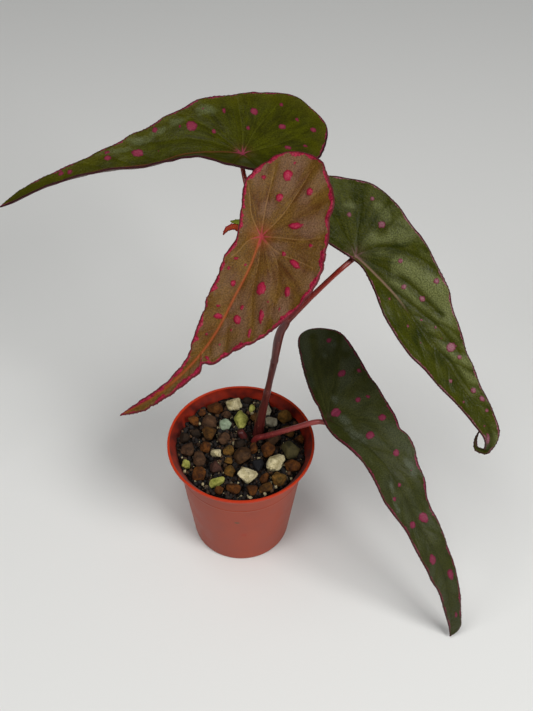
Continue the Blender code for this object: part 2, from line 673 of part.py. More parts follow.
def pebble(name, place, size, turn, seed, detail, collection, swell=0.0):
    """A worn stone: an icosphere pressed flat, with a bumpy and slightly cornered surface."""
    mesh = bpy.data.meshes.new(name)
    work = bmesh.new()
    bmesh.ops.create_icosphere(work, subdivisions=detail, radius=1)
    for vert in work.verts:
        shift = Vector((seed * STONE_STEP, 0, 0))
        vert.co *= 1 + STONE_BUMP * noise.noise(vert.co * STONE_LUMPS + shift)
    work.to_mesh(mesh)
    work.free()
    mesh.transform(Matrix.Diagonal((*((s / 2 + swell) * MM for s in size), 1)))
    tilt = Euler((STONE_TILT * math.sin(seed), STONE_TILT * math.cos(seed), math.radians(turn)))
    mesh.transform(Matrix.Translation(Vector(place) * MM) @ tilt.to_matrix().to_4x4())
    obj = bpy.data.objects.new(name, mesh)
    collection.objects.link(obj)
    return obj


def stone(name, spec, seed, collection, swell=0.0):
    """A stone seated in the soil, or with a swell the socket it lies in."""
    x, y, width, depth, turn, _ = spec
    height = STONE_FLATNESS * min(width, depth) + STONE_EXTRA
    place = (x, y, SOIL_TOP + STONE_SEAT * height)
    detail = 2 if max(width, depth) >= BIG_STONE else 1
    return pebble(name, place, (width, depth, height), turn, seed, detail, collection, swell)


def make_stones(stones, collection):
    for i, spec in enumerate(stones):
        set_material(stone(f"stone_{i + 1:02d}", spec, i, collection), STONE_COLOURS[spec[-1]], 0.8)


def make_soil(stones, small, collection, helpers):
    soil = soil_body(collection)
    grains = [pebble("grain", (x, y, soil_height(x, y)), (2 * r,) * 3, 0, i, 1, helpers)
              for i, (x, y, r) in enumerate(small)]
    joined(soil, grains)
    sockets = [stone("socket", spec, i, helpers, GAP) for i, spec in enumerate(stones)]
    for path, radius in STEMS:
        x, y, foot = path[0]
        sockets.append(cylinder("stem_hole", radius + HOLE_GAP, foot - GAP, POT_HEIGHT, x, y,
                                HOLE_SIDES, helpers))
    joined(soil, sockets, "DIFFERENCE")
    tidy_mesh(soil)
    set_material(soil, "#1c1410", 0.95)
    return soil


def stalk_end(leaf):
    """The last two points of a stalk: it meets the blade square on, a gap below it."""
    below = -(BLADE_THICKNESS / 2 + GAP)
    lifts = np.array([below - STALK_RISE, below])
    return [tuple(p) for p in blade_points(leaf, np.zeros(2), np.zeros(2), lifts)]


def make_cane(collection):
    cane = tube("cane", CANE_POINTS, CANE_RADII, collection, CANE_SAMPLES)
    stalks = [
        tube("stalk", STALK_TO_RIGHT + stalk_end(LEAF_RIGHT), (1.3, 0.95, 0.85, 0.95), collection),
        tube("stalk", STALK_TO_FRONT + stalk_end(LEAF_FRONT), (1.1, 0.95, 0.9), collection),
        tube("stalk", STALK_TO_BACK + stalk_end(LEAF_BACK), (1.0, 0.8, 0.75), collection),
    ]
    joined(cane, stalks)
    tidy_mesh(cane)
    cane.data.shade_smooth()
    set_material(cane, "#6b2a26", 0.4)
    return cane


def make_low_stalk(collection):
    stalk = tube("low_stalk", STALK_TO_LOW + stalk_end(LEAF_LOW), (1.1, 1.1, 1.0, 0.95),
                 collection, LOW_STALK_SAMPLES)
    stalk.data.shade_smooth()
    set_material(stalk, "#a8483e", 0.4)
    return stalk


def make_stub(collection):
    stub = tube("base_bud", BASE_STUB, STUB_RADII, collection, STUB_SAMPLES)
    stub.data.shade_smooth()
    set_material(stub, "#5a1c18", 0.5)
    return stub


def make_young_shoot(collection):
    for leaf in (YOUNG_LEAF, STIPULE):
        obj = blade(leaf, collection, YOUNG_ROWS_ALONG, YOUNG_ROWS_AROUND, YOUNG_COLUMNS, YOUNG_TOOTH)
        set_material(obj, leaf.colour, 0.4)


def main():
    clear_scene()
    parts = new_collection("potted begonia")
    helpers = new_collection("cutters", hidden=True)
    stones, small = gravel()
    make_pot(parts, helpers)
    make_soil(stones, small, parts, helpers)
    make_stones(stones, parts)
    make_cane(parts)
    make_low_stalk(parts)
    make_stub(parts)
    for leaf in LEAVES:
        make_leaf(leaf, parts)
    make_young_shoot(parts)


if __name__ == "__main__":
    main()
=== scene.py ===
# %% [markdown]
# This lesson dresses a small potted begonia. The plant is a young cane begonia in a soft plastic
# nursery pot: four long, lopsided leaves with raised crimson spots, a jointed maroon cane, and a
# top layer of mixed gravel on black peat. A solid model of the same plant is loaded first. It sets
# where everything is, and each step below replaces one of its pieces with a finer surface of the
# same form, or gives it a better finish. Lengths are in millimetres unless a name says otherwise.

import json
import math
from dataclasses import dataclass

import bmesh
import bpy
import numpy as np
from mathutils import Matrix, Vector

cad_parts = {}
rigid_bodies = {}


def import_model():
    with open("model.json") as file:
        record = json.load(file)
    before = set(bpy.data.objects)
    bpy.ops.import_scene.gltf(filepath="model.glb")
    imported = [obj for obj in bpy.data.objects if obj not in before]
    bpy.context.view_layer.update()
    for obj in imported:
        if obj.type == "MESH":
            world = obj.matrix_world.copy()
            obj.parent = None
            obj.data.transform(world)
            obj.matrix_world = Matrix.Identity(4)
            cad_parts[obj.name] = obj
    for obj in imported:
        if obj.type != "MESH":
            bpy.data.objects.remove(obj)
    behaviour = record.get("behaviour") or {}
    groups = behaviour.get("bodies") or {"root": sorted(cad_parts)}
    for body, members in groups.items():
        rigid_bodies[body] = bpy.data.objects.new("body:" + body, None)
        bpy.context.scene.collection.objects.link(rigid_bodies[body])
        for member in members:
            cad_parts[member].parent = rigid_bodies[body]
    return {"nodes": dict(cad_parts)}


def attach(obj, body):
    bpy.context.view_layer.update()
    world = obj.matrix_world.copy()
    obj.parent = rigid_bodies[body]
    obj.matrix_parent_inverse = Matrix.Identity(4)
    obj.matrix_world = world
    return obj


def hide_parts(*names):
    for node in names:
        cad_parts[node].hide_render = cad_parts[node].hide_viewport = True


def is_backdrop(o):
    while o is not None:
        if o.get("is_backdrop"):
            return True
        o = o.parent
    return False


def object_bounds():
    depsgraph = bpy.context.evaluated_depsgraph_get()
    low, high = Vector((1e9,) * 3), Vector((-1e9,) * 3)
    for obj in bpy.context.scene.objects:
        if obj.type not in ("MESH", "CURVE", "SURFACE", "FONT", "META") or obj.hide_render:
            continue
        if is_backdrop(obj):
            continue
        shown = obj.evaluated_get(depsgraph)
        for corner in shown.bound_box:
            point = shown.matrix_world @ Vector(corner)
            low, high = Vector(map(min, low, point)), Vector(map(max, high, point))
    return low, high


for leftover in list(bpy.data.objects):
    bpy.data.objects.remove(leftover)
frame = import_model()
cad_low, cad_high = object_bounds()

MM = 0.001
solid_size = np.round((np.array(cad_high) - cad_low) / MM, 1)
print("solid model:", len(frame["nodes"]), "nodes,", solid_size, "mm")

# %% [markdown]
# The colours below are sRGB, written as hex codes, while shaders work in linear light, so one
# function converts them. One more function adds a node to a material with its settings and its
# links, which keeps every material below short enough to read in one go.

# %% Colours and shader nodes
def linear(hex_code):
    """Linear RGBA of an sRGB colour: below 0.04045 a straight line, above it a power of 2.4."""
    channels = [int(hex_code[i:i + 2], 16) / 255 for i in (1, 3, 5)]
    return [c / 12.92 if c <= 0.04045 else ((c + 0.055) / 1.055) ** 2.4 for c in channels] + [1]


def node(tree, kind, inputs=None, out=0, **settings):
    """Adds a node and gives back one of its outputs. inputs maps a socket to a value or a link."""
    made = tree.nodes.new(kind)
    for key, value in settings.items():
        setattr(made, key, value)
    for key, value in (inputs or {}).items():
        if isinstance(value, bpy.types.NodeSocket):
            tree.links.new(value, made.inputs[key])
        else:
            made.inputs[key].default_value = value
    return made.outputs[out]


def new_material(name):
    """A new material, its node tree, and its Principled shader with the colour left to fill."""
    material = bpy.data.materials.new(name)
    material.use_nodes = True
    return material, material.node_tree, material.node_tree.nodes["Principled BSDF"]

# %% [markdown]
# Natural surfaces are never quite smooth. A script can't ask the noise nodes of a material for
# their values, so a small numpy version shapes whatever has to be uneven. It draws a random value
# for each corner of a cubic lattice and blends the eight corners round a point.

# %% Noise for shapes
def lattice_noise(places, cell, seed=0):
    """Smooth noise from -1 to 1: hashed values at lattice corners, blended by 3u^2 - 2u^3."""
    grid = np.atleast_2d(np.asarray(places, float)) / cell
    corner = np.floor(grid).astype(np.int64)
    part = grid - corner
    blend = part * part * (3 - 2 * part)
    total = np.zeros(len(grid))
    for step in np.ndindex(2, 2, 2):
        x, y, z = (corner + step).T
        mixed = (x * 73856093) ^ (y * 19349663) ^ (z * 83492791) ^ (seed * 265443576)
        mixed = ((mixed ^ (mixed >> 13)) * 1274126177) & 0xFFFFFFFF
        value = ((mixed ^ (mixed >> 15)) & 0xFFFF) / 32768.0 - 1
        total += value * np.where(step, blend, 1 - blend).prod(axis=1)
    return total


def rough_noise(places, cell, octaves=3, seed=0):
    """Noise with detail: each octave has half the cell and half the height of the one before."""
    heights = [lattice_noise(places, cell / 2 ** i, seed + i) / 2 ** i for i in range(octaves)]
    return np.sum(heights, axis=0)


def soft_step(value, low, high):
    """0 below low, 1 above high and a smooth ramp between."""
    u = np.clip((value - low) / (high - low), 0, 1)
    return u * u * (3 - 2 * u)

# %% [markdown]
# Every new piece is a grid of points. Going along a row and down a column reaches each point once,
# so faces are simply the squares between neighbours. A grid that wraps is a tube or a ball, and
# points that fall together, such as a pole, are merged afterwards. Values that a material needs
# later, such as the distance to a leaf's edge, are stored with the points as attributes.

# %% From a grid of points to a piece
made_pieces = []


def grid_faces(rows, columns, wrap_rows, wrap_columns):
    """Quads between neighbouring grid points, as four index arrays side by side."""
    down = np.arange(rows if wrap_rows else rows - 1)
    along = np.arange(columns if wrap_columns else columns - 1)
    i, j = [part.ravel() for part in np.meshgrid(down, along, indexing="ij")]
    i2, j2 = (i + 1) % rows, (j + 1) % columns
    return np.stack([i * columns + j, i2 * columns + j, i2 * columns + j2, i * columns + j2], 1)


def mesh_piece(name, points, faces, attributes, merge=1e-4):
    """An object from points in mm and quads, with float or vector attributes on its points."""
    if not np.isfinite(points).all():
        raise ValueError(f"{name} has points that are not numbers")
    mesh = bpy.data.meshes.new(name)
    mesh.from_pydata(np.reshape(points, (-1, 3)) * MM, [], np.asarray(faces).tolist())
    for key, values in attributes.items():
        values = np.asarray(values, np.float32)
        single = values.size == len(mesh.vertices)
        layer = mesh.attributes.new(key, "FLOAT" if single else "FLOAT_VECTOR", "POINT")
        layer.data.foreach_set("value" if single else "vector", values.ravel())
    work = bmesh.new()
    work.from_mesh(mesh)
    bmesh.ops.remove_doubles(work, verts=work.verts, dist=merge * MM)
    bmesh.ops.dissolve_degenerate(work, edges=work.edges, dist=merge * MM)
    bmesh.ops.recalc_face_normals(work, faces=work.faces)
    work.to_mesh(mesh)
    work.free()
    mesh.shade_smooth()
    piece = bpy.data.objects.new(name, mesh)
    bpy.context.scene.collection.objects.link(piece)
    return piece


def place(piece, material, slot, *nodes):
    """Gives a piece its material and says which solids it stands for."""
    piece.data.materials.clear()
    piece.data.materials.append(material)
    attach(piece, "root")
    if nodes:
        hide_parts(*nodes)
    made_pieces.append(piece)
    return piece

# %% [markdown]
# The photograph looks down on the plant at about 47 degrees with a slight roll. The camera's place
# was fitted to the outlines of the pot's rim, wall and base. A single photograph says little about
# how long the lens was, because a nearer camera with a wider lens gives almost the same outlines.
# The focal length here is therefore a choice: a moderate one, as for the longer lens of a phone.

# %% Camera
IMAGE_HEIGHT = 711
FOCAL_PIXELS = 1063.0
CAMERA_PLACE = (8.9, -246.6, 362.4)
LOOK_DOWN = math.radians(46.97)
CAMERA_ROLL = math.radians(1.08)

camera_data = bpy.data.cameras.new("camera")
camera = bpy.data.objects.new("camera", camera_data)
bpy.context.scene.collection.objects.link(camera)
camera_data.sensor_width = 36.0
camera_data.lens = camera_data.sensor_width * FOCAL_PIXELS / IMAGE_HEIGHT
camera_data.clip_start = 10 * MM
camera.location = Vector(CAMERA_PLACE) * MM
tilt = Matrix.Rotation(math.radians(90) - LOOK_DOWN, 4, "X")
camera.rotation_euler = (tilt @ Matrix.Rotation(CAMERA_ROLL, 4, "Z")).to_euler()
bpy.context.scene.camera = camera
bpy.context.scene.view_settings.view_transform = "Standard"
print("lens", round(camera_data.lens, 2), "mm")

# %% [markdown]
# A begonia blade is drawn flat first. "Along" runs down the midrib from the end of the stalk to
# the tip, and "out" runs away from it, positive on the wide half. The flat drawing is then bent:
# the midrib follows a curve in space, and each half is folded up from it by a few degrees. These
# numbers are the plant's own, and the solid model uses the same ones.

# %% What a blade is
@dataclass
class Blade:
    """midrib and face set the bend, outline and fan the flat shape, and the rest the surface.

    wide_side: 1 or -1, the side of the midrib on which the wide half lies
    wide_fold, narrow_fold: degrees by which each half is folded up, from the stalk to the tip
    fan: the outline points between which every row of the grid starts at the stalk
    vein_paths: the main veins as (along, out) points, from the stalk or the midrib outwards
    spots: (along, out, half length, half width) of each raised spot, and degrees if it is turned
    sheen: how strongly the wide half, the narrow half and the lobe behind the stalk are painted with sheen,
    a paler colour that stands for reflected light
    sheen_patches: (along, out, half length, half width) of single patches of painted sheen
    quilt, vein_depth, wave, crinkle, bead, spot_rise: heights of the relief in mm
    """
    name: str
    midrib: list
    face: tuple
    wide_side: int
    wide_fold: tuple
    narrow_fold: tuple
    outline: list
    fan: tuple
    vein_paths: tuple = ()
    spots: tuple = ()
    veins: int = 6
    quilt: float = 0.35
    vein_depth: float = 0.12
    wave: float = 0.5
    crinkle: float = 0.3
    bead: float = 0.2
    rim_width: float = 0.6
    spot_rise: float = 0.25
    sheen: tuple = (1.0, 0.4, 0.4)
    sheen_patches: tuple = ()


FOLD_ROUND = 1.5
FOLD_ROUND_BEHIND = 0.4
LOBE_DROOP = 0.003
TIP_CROWDING = 1.25
HALF_THICKNESS = 0.27


def smooth_through(knots, values, at):
    """A cubic through the values at the knots, with slopes from both neighbours, straight beyond."""
    knots, values, at = (np.asarray(a, float) for a in (knots, values, at))
    step = np.diff(knots)
    slope = np.diff(values, axis=0) / step[:, None]
    tangent = np.empty_like(values)
    tangent[0], tangent[-1] = slope[0], slope[-1]
    weight = (step[:-1] + step[1:])[:, None]
    tangent[1:-1] = (slope[:-1] * step[1:, None] + slope[1:] * step[:-1, None]) / weight
    i = np.clip(np.searchsorted(knots, at) - 1, 0, len(step) - 1)
    h = step[i][:, None]
    s = ((np.clip(at, knots[0], knots[-1]) - knots[i]) / step[i])[:, None]
    inside = (values[i] * (1 + 2 * s) * (1 - s) ** 2 + tangent[i] * h * s * (1 - s) ** 2
              + values[i + 1] * s ** 2 * (3 - 2 * s) + tangent[i + 1] * h * s ** 2 * (s - 1))
    before = np.minimum(at - knots[0], 0)[:, None] * tangent[0]
    after = np.maximum(at - knots[-1], 0)[:, None] * tangent[-1]
    return inside + before + after


def chord_knots(points, power=1.0):
    """Running length along points, each chord raised to a power."""
    steps = np.linalg.norm(np.diff(np.asarray(points, float), axis=0), axis=1) ** power
    return np.concatenate([[0], np.cumsum(steps)])


def fold_at(blade, folds, along):
    """The fold angle at each place along the midrib, from values spread evenly over it."""
    places = np.linspace(0, chord_knots(blade.midrib)[-1], len(folds))
    angles = smooth_through(places, np.array(folds, float)[:, None], np.clip(along, 0, places[-1]))
    return np.radians(angles[:, 0])


def bend(blade, along, out, lift):
    """Flat places to space: spine + across * side + height * normal, with the fold rounded off."""
    knots = chord_knots(blade.midrib)
    spine = smooth_through(knots, blade.midrib, along)
    tangent = smooth_through(knots, blade.midrib, along + 0.5)
    tangent -= smooth_through(knots, blade.midrib, along - 0.5)
    tangent /= np.linalg.norm(tangent, axis=1, keepdims=True)
    face = np.array(blade.face)
    normal = face - (tangent @ face)[:, None] * tangent
    normal /= np.linalg.norm(normal, axis=1, keepdims=True)
    side = np.cross(tangent, normal) * blade.wide_side
    behind = np.clip(-along, 0, None)
    rounding = FOLD_ROUND + FOLD_ROUND_BEHIND * behind
    run = np.sqrt(out * out + rounding * rounding) - rounding
    fold = np.where(out > 0, fold_at(blade, blade.wide_fold, along),
                    fold_at(blade, blade.narrow_fold, along))
    across = out - np.sign(out) * run * (1 - np.cos(fold))
    height = run * np.sin(fold) + lift - LOBE_DROOP * behind ** 2
    return spine + across[:, None] * side + height[:, None] * normal

# %% [markdown]
# The grid of a blade has one row for each place round its margin. A row starts on the midrib and
# ends at the margin, so the rows follow the side veins, and round the stalk they fan out. Real
# begonia margins are crenate, which means softly scalloped, with tiny teeth between the scallops.

# %% Rows of the blade and its scalloped margin
SCALLOP_LENGTH = 4.6
SCALLOP_MIDDLE = 0.6
TOOTH_LENGTH = 1.5
TOOTH_HEIGHT = 0.2
OUTLINE_SAMPLES = 2400


def blade_rows(blade, rows_along, rows_around):
    """Feet on the midrib, ends on the margin, arc length there, and the margin's outward normal."""
    outline = np.array(blade.outline + blade.outline[:1], float)
    knots = chord_knots(outline, 0.5)
    dense = np.linspace(0, knots[-1], OUTLINE_SAMPLES)
    edge = smooth_through(knots, outline, dense)
    length = chord_knots(edge)
    fan = np.interp(knots[list(blade.fan)], dense, length)
    share = np.linspace(0, 1, rows_along + 1) ** TIP_CROWDING
    back = length[-1] - (length[-1] - fan[1]) * share[:0:-1]
    arc = np.concatenate([fan[0] * share, np.linspace(fan[0], fan[1], rows_around + 1)[1:-1], back])
    feet = outline[0, 0] * np.concatenate([1 - share, np.zeros(rows_around - 1), 1 - share[:0:-1]])
    ends = np.stack([np.interp(arc, length, edge[:, i]) for i in (0, 1)], axis=1)
    heading = np.gradient(ends, axis=0)
    heading /= np.linalg.norm(heading, axis=1, keepdims=True)
    outward = np.stack([heading[:, 1], -heading[:, 0]], axis=1)
    area = np.sum(ends[:, 0] * np.roll(ends[:, 1], -1) - ends[:, 1] * np.roll(ends[:, 0], -1))
    return feet, ends, arc, outward * np.sign(area)


def scalloped(blade, ends, arc, outward):
    """The margin moved in and out: rounded scallops as |sin|, and small teeth as a power of sin."""
    strip = np.stack([arc, np.zeros_like(arc), np.zeros_like(arc)], axis=1)
    drift = lattice_noise(strip, 9.0, 5)
    scallop = np.abs(np.sin(np.pi * arc / SCALLOP_LENGTH + 2 * drift))
    tooth = np.clip(np.sin(2 * np.pi * arc / TOOTH_LENGTH + 3 * drift), 0, 1) ** 4
    size = 0.45 + 0.55 * lattice_noise(strip, 5.0, 10)
    move = blade.crinkle * size * (scallop - SCALLOP_MIDDLE) + TOOTH_HEIGHT * tooth * (0.5 + 0.5 * drift)
    return ends + outward * move[:, None]

# %% [markdown]
# Veins give a begonia leaf its relief. The main ones start together at the stalk, in a red star,
# and side veins leave the midrib at about 40 degrees and curve towards the tip. The upper side is
# pressed in along them and swells up between, like a quilt. Each vein is a curve in the flat
# drawing, and every point of the grid measures how far it is from the nearest one.

# %% Veins and spots
SIDE_VEIN_STEP = 9.5
FIRST_SIDE_VEIN = 26.0
SIDE_VEIN_REACH = 18.0
LAST_SIDE_VEIN = 0.85
SIDE_VEIN_STAGGER = 0.4
VEIN_POINTS = 14
VEIN_RUN_OUT = 1.3
SPOT_WOBBLE = 0.12


def main_veins(blade):
    """The midrib, and each vein path smoothed and run straight on towards the margin."""
    lines = [np.array([[0.0, 0.0], [blade.outline[0][0], 0.0]])]
    for path in blade.vein_paths:
        knots = chord_knots(path)
        lines.append(smooth_through(knots, path, knots[-1] * np.linspace(0, VEIN_RUN_OUT, VEIN_POINTS)))
    return lines


def side_veins(blade):
    """Thin veins at even steps along the midrib, which swing forward as the square of q."""
    q = np.linspace(0, 1, VEIN_POINTS)[:, None]
    lines = []
    for start in np.arange(FIRST_SIDE_VEIN, LAST_SIDE_VEIN * blade.outline[0][0], SIDE_VEIN_STEP):
        for side in (1, -1):
            foot = start + (SIDE_VEIN_STAGGER * SIDE_VEIN_STEP if side < 0 else 0)
            along = foot + SIDE_VEIN_REACH * (0.7 * q + 0.8 * q * q)
            lines.append(np.hstack([along, side * 0.7 * SIDE_VEIN_REACH * q]))
    return lines


def distance_to_lines(lines, flat):
    """Shortest distance from each flat place to any segment of any line."""
    nearest = np.full(len(flat), 1e9)
    for line in lines:
        start, step = line[:-1][None], np.diff(line, axis=0)[None]
        offset = flat[:, None] - start
        share = np.clip((offset * step).sum(2) / (step * step).sum(2), 0, 1)
        gap = np.linalg.norm(offset - share[..., None] * step, axis=2)
        nearest = np.minimum(nearest, gap.min(axis=1))
    return nearest


def spot_shape(blade, flat):
    """Height share of the nearest spot, and the distance inside its edge in mm."""
    inside = np.full(len(flat), -9.0)
    dome = np.zeros(len(flat))
    wobble = lattice_noise(np.column_stack([flat, np.zeros(len(flat))]), 0.9, 3)
    for along, out, half_length, half_width, *turn in blade.spots:
        angle = np.radians(turn[0] if turn else 0)
        x, y = flat[:, 0] - along, flat[:, 1] - out
        ahead, aside = x * np.cos(angle) + y * np.sin(angle), y * np.cos(angle) - x * np.sin(angle)
        reach = np.hypot(ahead / half_length, aside / half_width)
        reach = np.maximum(reach + SPOT_WOBBLE * wobble, 0)
        size = min(half_length, half_width)
        inside = np.maximum(inside, (1 - reach) * size)
        dome = np.maximum(dome, np.clip(1 - reach ** 2.4, 0, 1) ** 0.6 * min(1.0, size))
    return dome, inside

# %% [markdown]
# Now the whole blade is worked out at once. Each row is a closed loop: over the upper side from
# the midrib to the margin, round the rim, and back along the underside. On the upper side the
# height is the sum of the quilt, the pressed-in veins, the waves of the margin, the raised beaded
# rim and the domes of the spots. The underside keeps the broad form, and there the veins stand out.
# The distances that shape the relief are also stored with the points, for the material to read.

# %% Blade surface
VEIN_HALF_WIDTH = 0.45
SIDE_VEIN_SHARE = 0.45
QUILT_REACH = 3.2
STAR_DIMPLE = 0.45
STAR_DIMPLE_MM = 1.2
GRAIN_HEIGHT = 0.035
PUCKER_HEIGHT = 0.1
PUCKER_MM = 2.4
NARROW_TIP = 1.5
LEVEL_RIM = 3.5
BEAD_FROM_EDGE = 0.5
BEAD_WIDTH = 0.45
RIM_RAGGEDNESS = 0.9
PAINTED_SHEEN_PATCH = 0.6
RIM_ANGLES = np.radians([55.0, 0.0, -55.0])
RAY_COUNT = 16.0
RAY_MM = 5.0
LOWER_COLUMNS = 22


def painted_sheen_field(blade, deep, nearest):
    """How much painted sheen each place gets, a paler colour for reflected light: a share for each region,
    in clouds between the veins, plus patches.
    """
    along, out = deep[:, 0], deep[:, 1]
    wide, lobe = soft_step(out, -0.6, 0.8), soft_step(-along, 0, 7)
    on_wide, on_narrow, on_lobe = blade.sheen
    share = (1 - lobe) * (wide * on_wide + (1 - wide) * on_narrow) + lobe * on_lobe
    clouds = soft_step(rough_noise(deep, 8.0, 4, 15), -0.75, 0.45)
    share = share * clouds * soft_step(nearest, 0.3, 2.6)
    ragged = 0.35 * rough_noise(deep, 1.6, 2, 16)
    for middle, aside, half_length, half_width in blade.sheen_patches:
        reach = np.hypot((along - middle) / half_length, (out - aside) / half_width)
        share = np.maximum(share, PAINTED_SHEEN_PATCH * soft_step(-reach + ragged, -1.3, -0.4))
    return share


def blade_surface(blade, row_scale=8, columns=46):
    """Points of the closed blade on a grid, and the attributes that its material reads."""
    feet, ends, arc, outward = blade_rows(blade, 29 * row_scale, 26 * row_scale)
    ends = scalloped(blade, ends, arc, outward)
    count = len(feet)
    starts = np.stack([feet, np.zeros(count)], axis=1)
    upper = 1 - (1 - np.linspace(0, 1, columns)) ** 1.3
    lower = 1 - (1 - np.linspace(1, 0, LOWER_COLUMNS)) ** 1.3
    share = np.concatenate([upper, np.ones(len(RIM_ANGLES)), lower])
    above = np.concatenate([np.ones(columns), np.sin(RIM_ANGLES), -np.ones(LOWER_COLUMNS)])
    beyond = np.concatenate([np.zeros(columns), np.cos(RIM_ANGLES), np.zeros(LOWER_COLUMNS)])
    flat = starts[:, None] * (1 - share[None, :, None]) + ends[:, None] * share[None, :, None]
    reach = np.abs(np.sum((ends - starts) * outward, axis=1))
    edge = (1 - share)[None] * reach[:, None]
    slender = 0.45 + 0.55 * soft_step(reach, 0, NARROW_TIP)[:, None]
    thick = slender * HALF_THICKNESS * (1 + 0.5 * np.exp(-(edge / 1.2) ** 2))
    flat = flat + outward[:, None] * (thick * beyond)[..., None]

    places = flat.reshape(-1, 2)
    edge, thick = edge.ravel(), thick.ravel()
    t = np.tile(share, count)
    top = np.tile(above, count)
    arc_here = np.repeat(arc, len(share))
    phase = np.pi * np.repeat(np.arange(count), len(share)) * (2 * blade.veins + 5) / count
    deep = np.column_stack([places, np.zeros(len(places))])

    vein = distance_to_lines(main_veins(blade), places)
    side_vein = distance_to_lines(side_veins(blade), places)
    nearest = np.minimum(vein, side_vein + 0.6)
    radius = np.hypot(*places.T)
    pillow = blade.quilt * (1 - np.exp(-(nearest / QUILT_REACH) ** 1.3)) * soft_step(edge, 0, LEVEL_RIM)
    roomy = np.repeat(soft_step(reach, 1.0, 9.0), len(share))
    ripple = blade.wave * roomy * np.sin(2.4 * phase + 1) * t ** 3
    strip = np.column_stack([arc_here, np.zeros((len(places), 2))])
    curl = blade.crinkle * (0.3 + 0.8 * roomy) * lattice_noise(strip, 2.6, 8) * np.exp(-edge / 1.6)
    pucker = PUCKER_HEIGHT * lattice_noise(deep, PUCKER_MM, 6) * soft_step(edge, 0.5, 3)
    broad = pillow + ripple + curl + pucker - STAR_DIMPLE * np.exp(-(radius / STAR_DIMPLE_MM) ** 2)
    groove = np.exp(-(vein / VEIN_HALF_WIDTH) ** 2)
    groove = groove + SIDE_VEIN_SHARE * np.exp(-(side_vein / VEIN_HALF_WIDTH) ** 2)
    groove = blade.vein_depth * groove * soft_step(edge, 0.3, 2.5)
    lumps = 0.65 + 0.5 * lattice_noise(strip, 1.0, 9)
    bead = blade.bead * np.exp(-((edge - BEAD_FROM_EDGE) / BEAD_WIDTH) ** 2) * lumps
    dome, inside = spot_shape(blade, places)
    grain = GRAIN_HEIGHT * lattice_noise(deep, 0.8, 4)
    detail = np.where(top > 0, bead + blade.spot_rise * dome + grain - groove, -1.5 * groove)
    lift = broad + top * thick + np.where(np.abs(top) < 1, 0, detail)
    points = bend(blade, places[:, 0], places[:, 1], lift)

    width = blade.rim_width * (1 + RIM_RAGGEDNESS * rough_noise(strip, 2.4, 2, 12))
    across, behind = places[:, 1], -places[:, 0]
    angle = np.arctan2(across, places[:, 0])
    rays = [RAY_COUNT * np.cos(angle), RAY_COUNT * np.sin(angle), radius / RAY_MM]
    attributes = {
        "blade_mm": deep,
        "rays": np.column_stack(rays),
        "edge_mm": edge,
        "rim_mm": width - edge,
        "spot_mm": inside,
        "vein_mm": vein,
        "side_mm": side_vein,
        "midrib_mm": np.hypot(across, np.maximum(behind, 0)),
        "painted_sheen_share": painted_sheen_field(blade, deep, nearest),
        "under": (top < -0.5).astype(float),
    }
    faces = grid_faces(count, len(share), True, False)
    return points, faces, attributes


def grow(blade, skin, solid, row_scale=8, columns=46):
    """The finished blade with its skin, in place of its solid."""
    piece = mesh_piece(blade.name, *blade_surface(blade, row_scale, columns))
    place(piece, skin, solid, solid)
    print(blade.name, len(piece.data.vertices), "points")

# %% [markdown]
# A leaf's colour has layers, and the material lays them one over another: a patchy green or bronze
# base with fine rays from the stalk, a paler painted sheen that stands for light reflected from the
# waxy skin and its domed surface cells, fine grain, the veins, the red star, the crimson spots, whose
# pink middles are partly a painted highlight, and the crimson rim. Every sharp edge comes from a
# distance in millimetres, roughened by noise, so it stays crisp however close the camera is.

# %% Leaf skin material
LEAF_IOR = 1.45
PATCH_MM = 7.0
GRAIN_MM = 0.45
CELL_MM = 1.3
MARGIN_TINT_MM = 7.0
RIB_MM = 0.6
BLUSH_MM = 6.0
STAR_MM = 4.0
STAR_CENTRE_MM = 1.1
FRINGE_MM = 0.22
UNDERSIDE_SHARE = 0.8


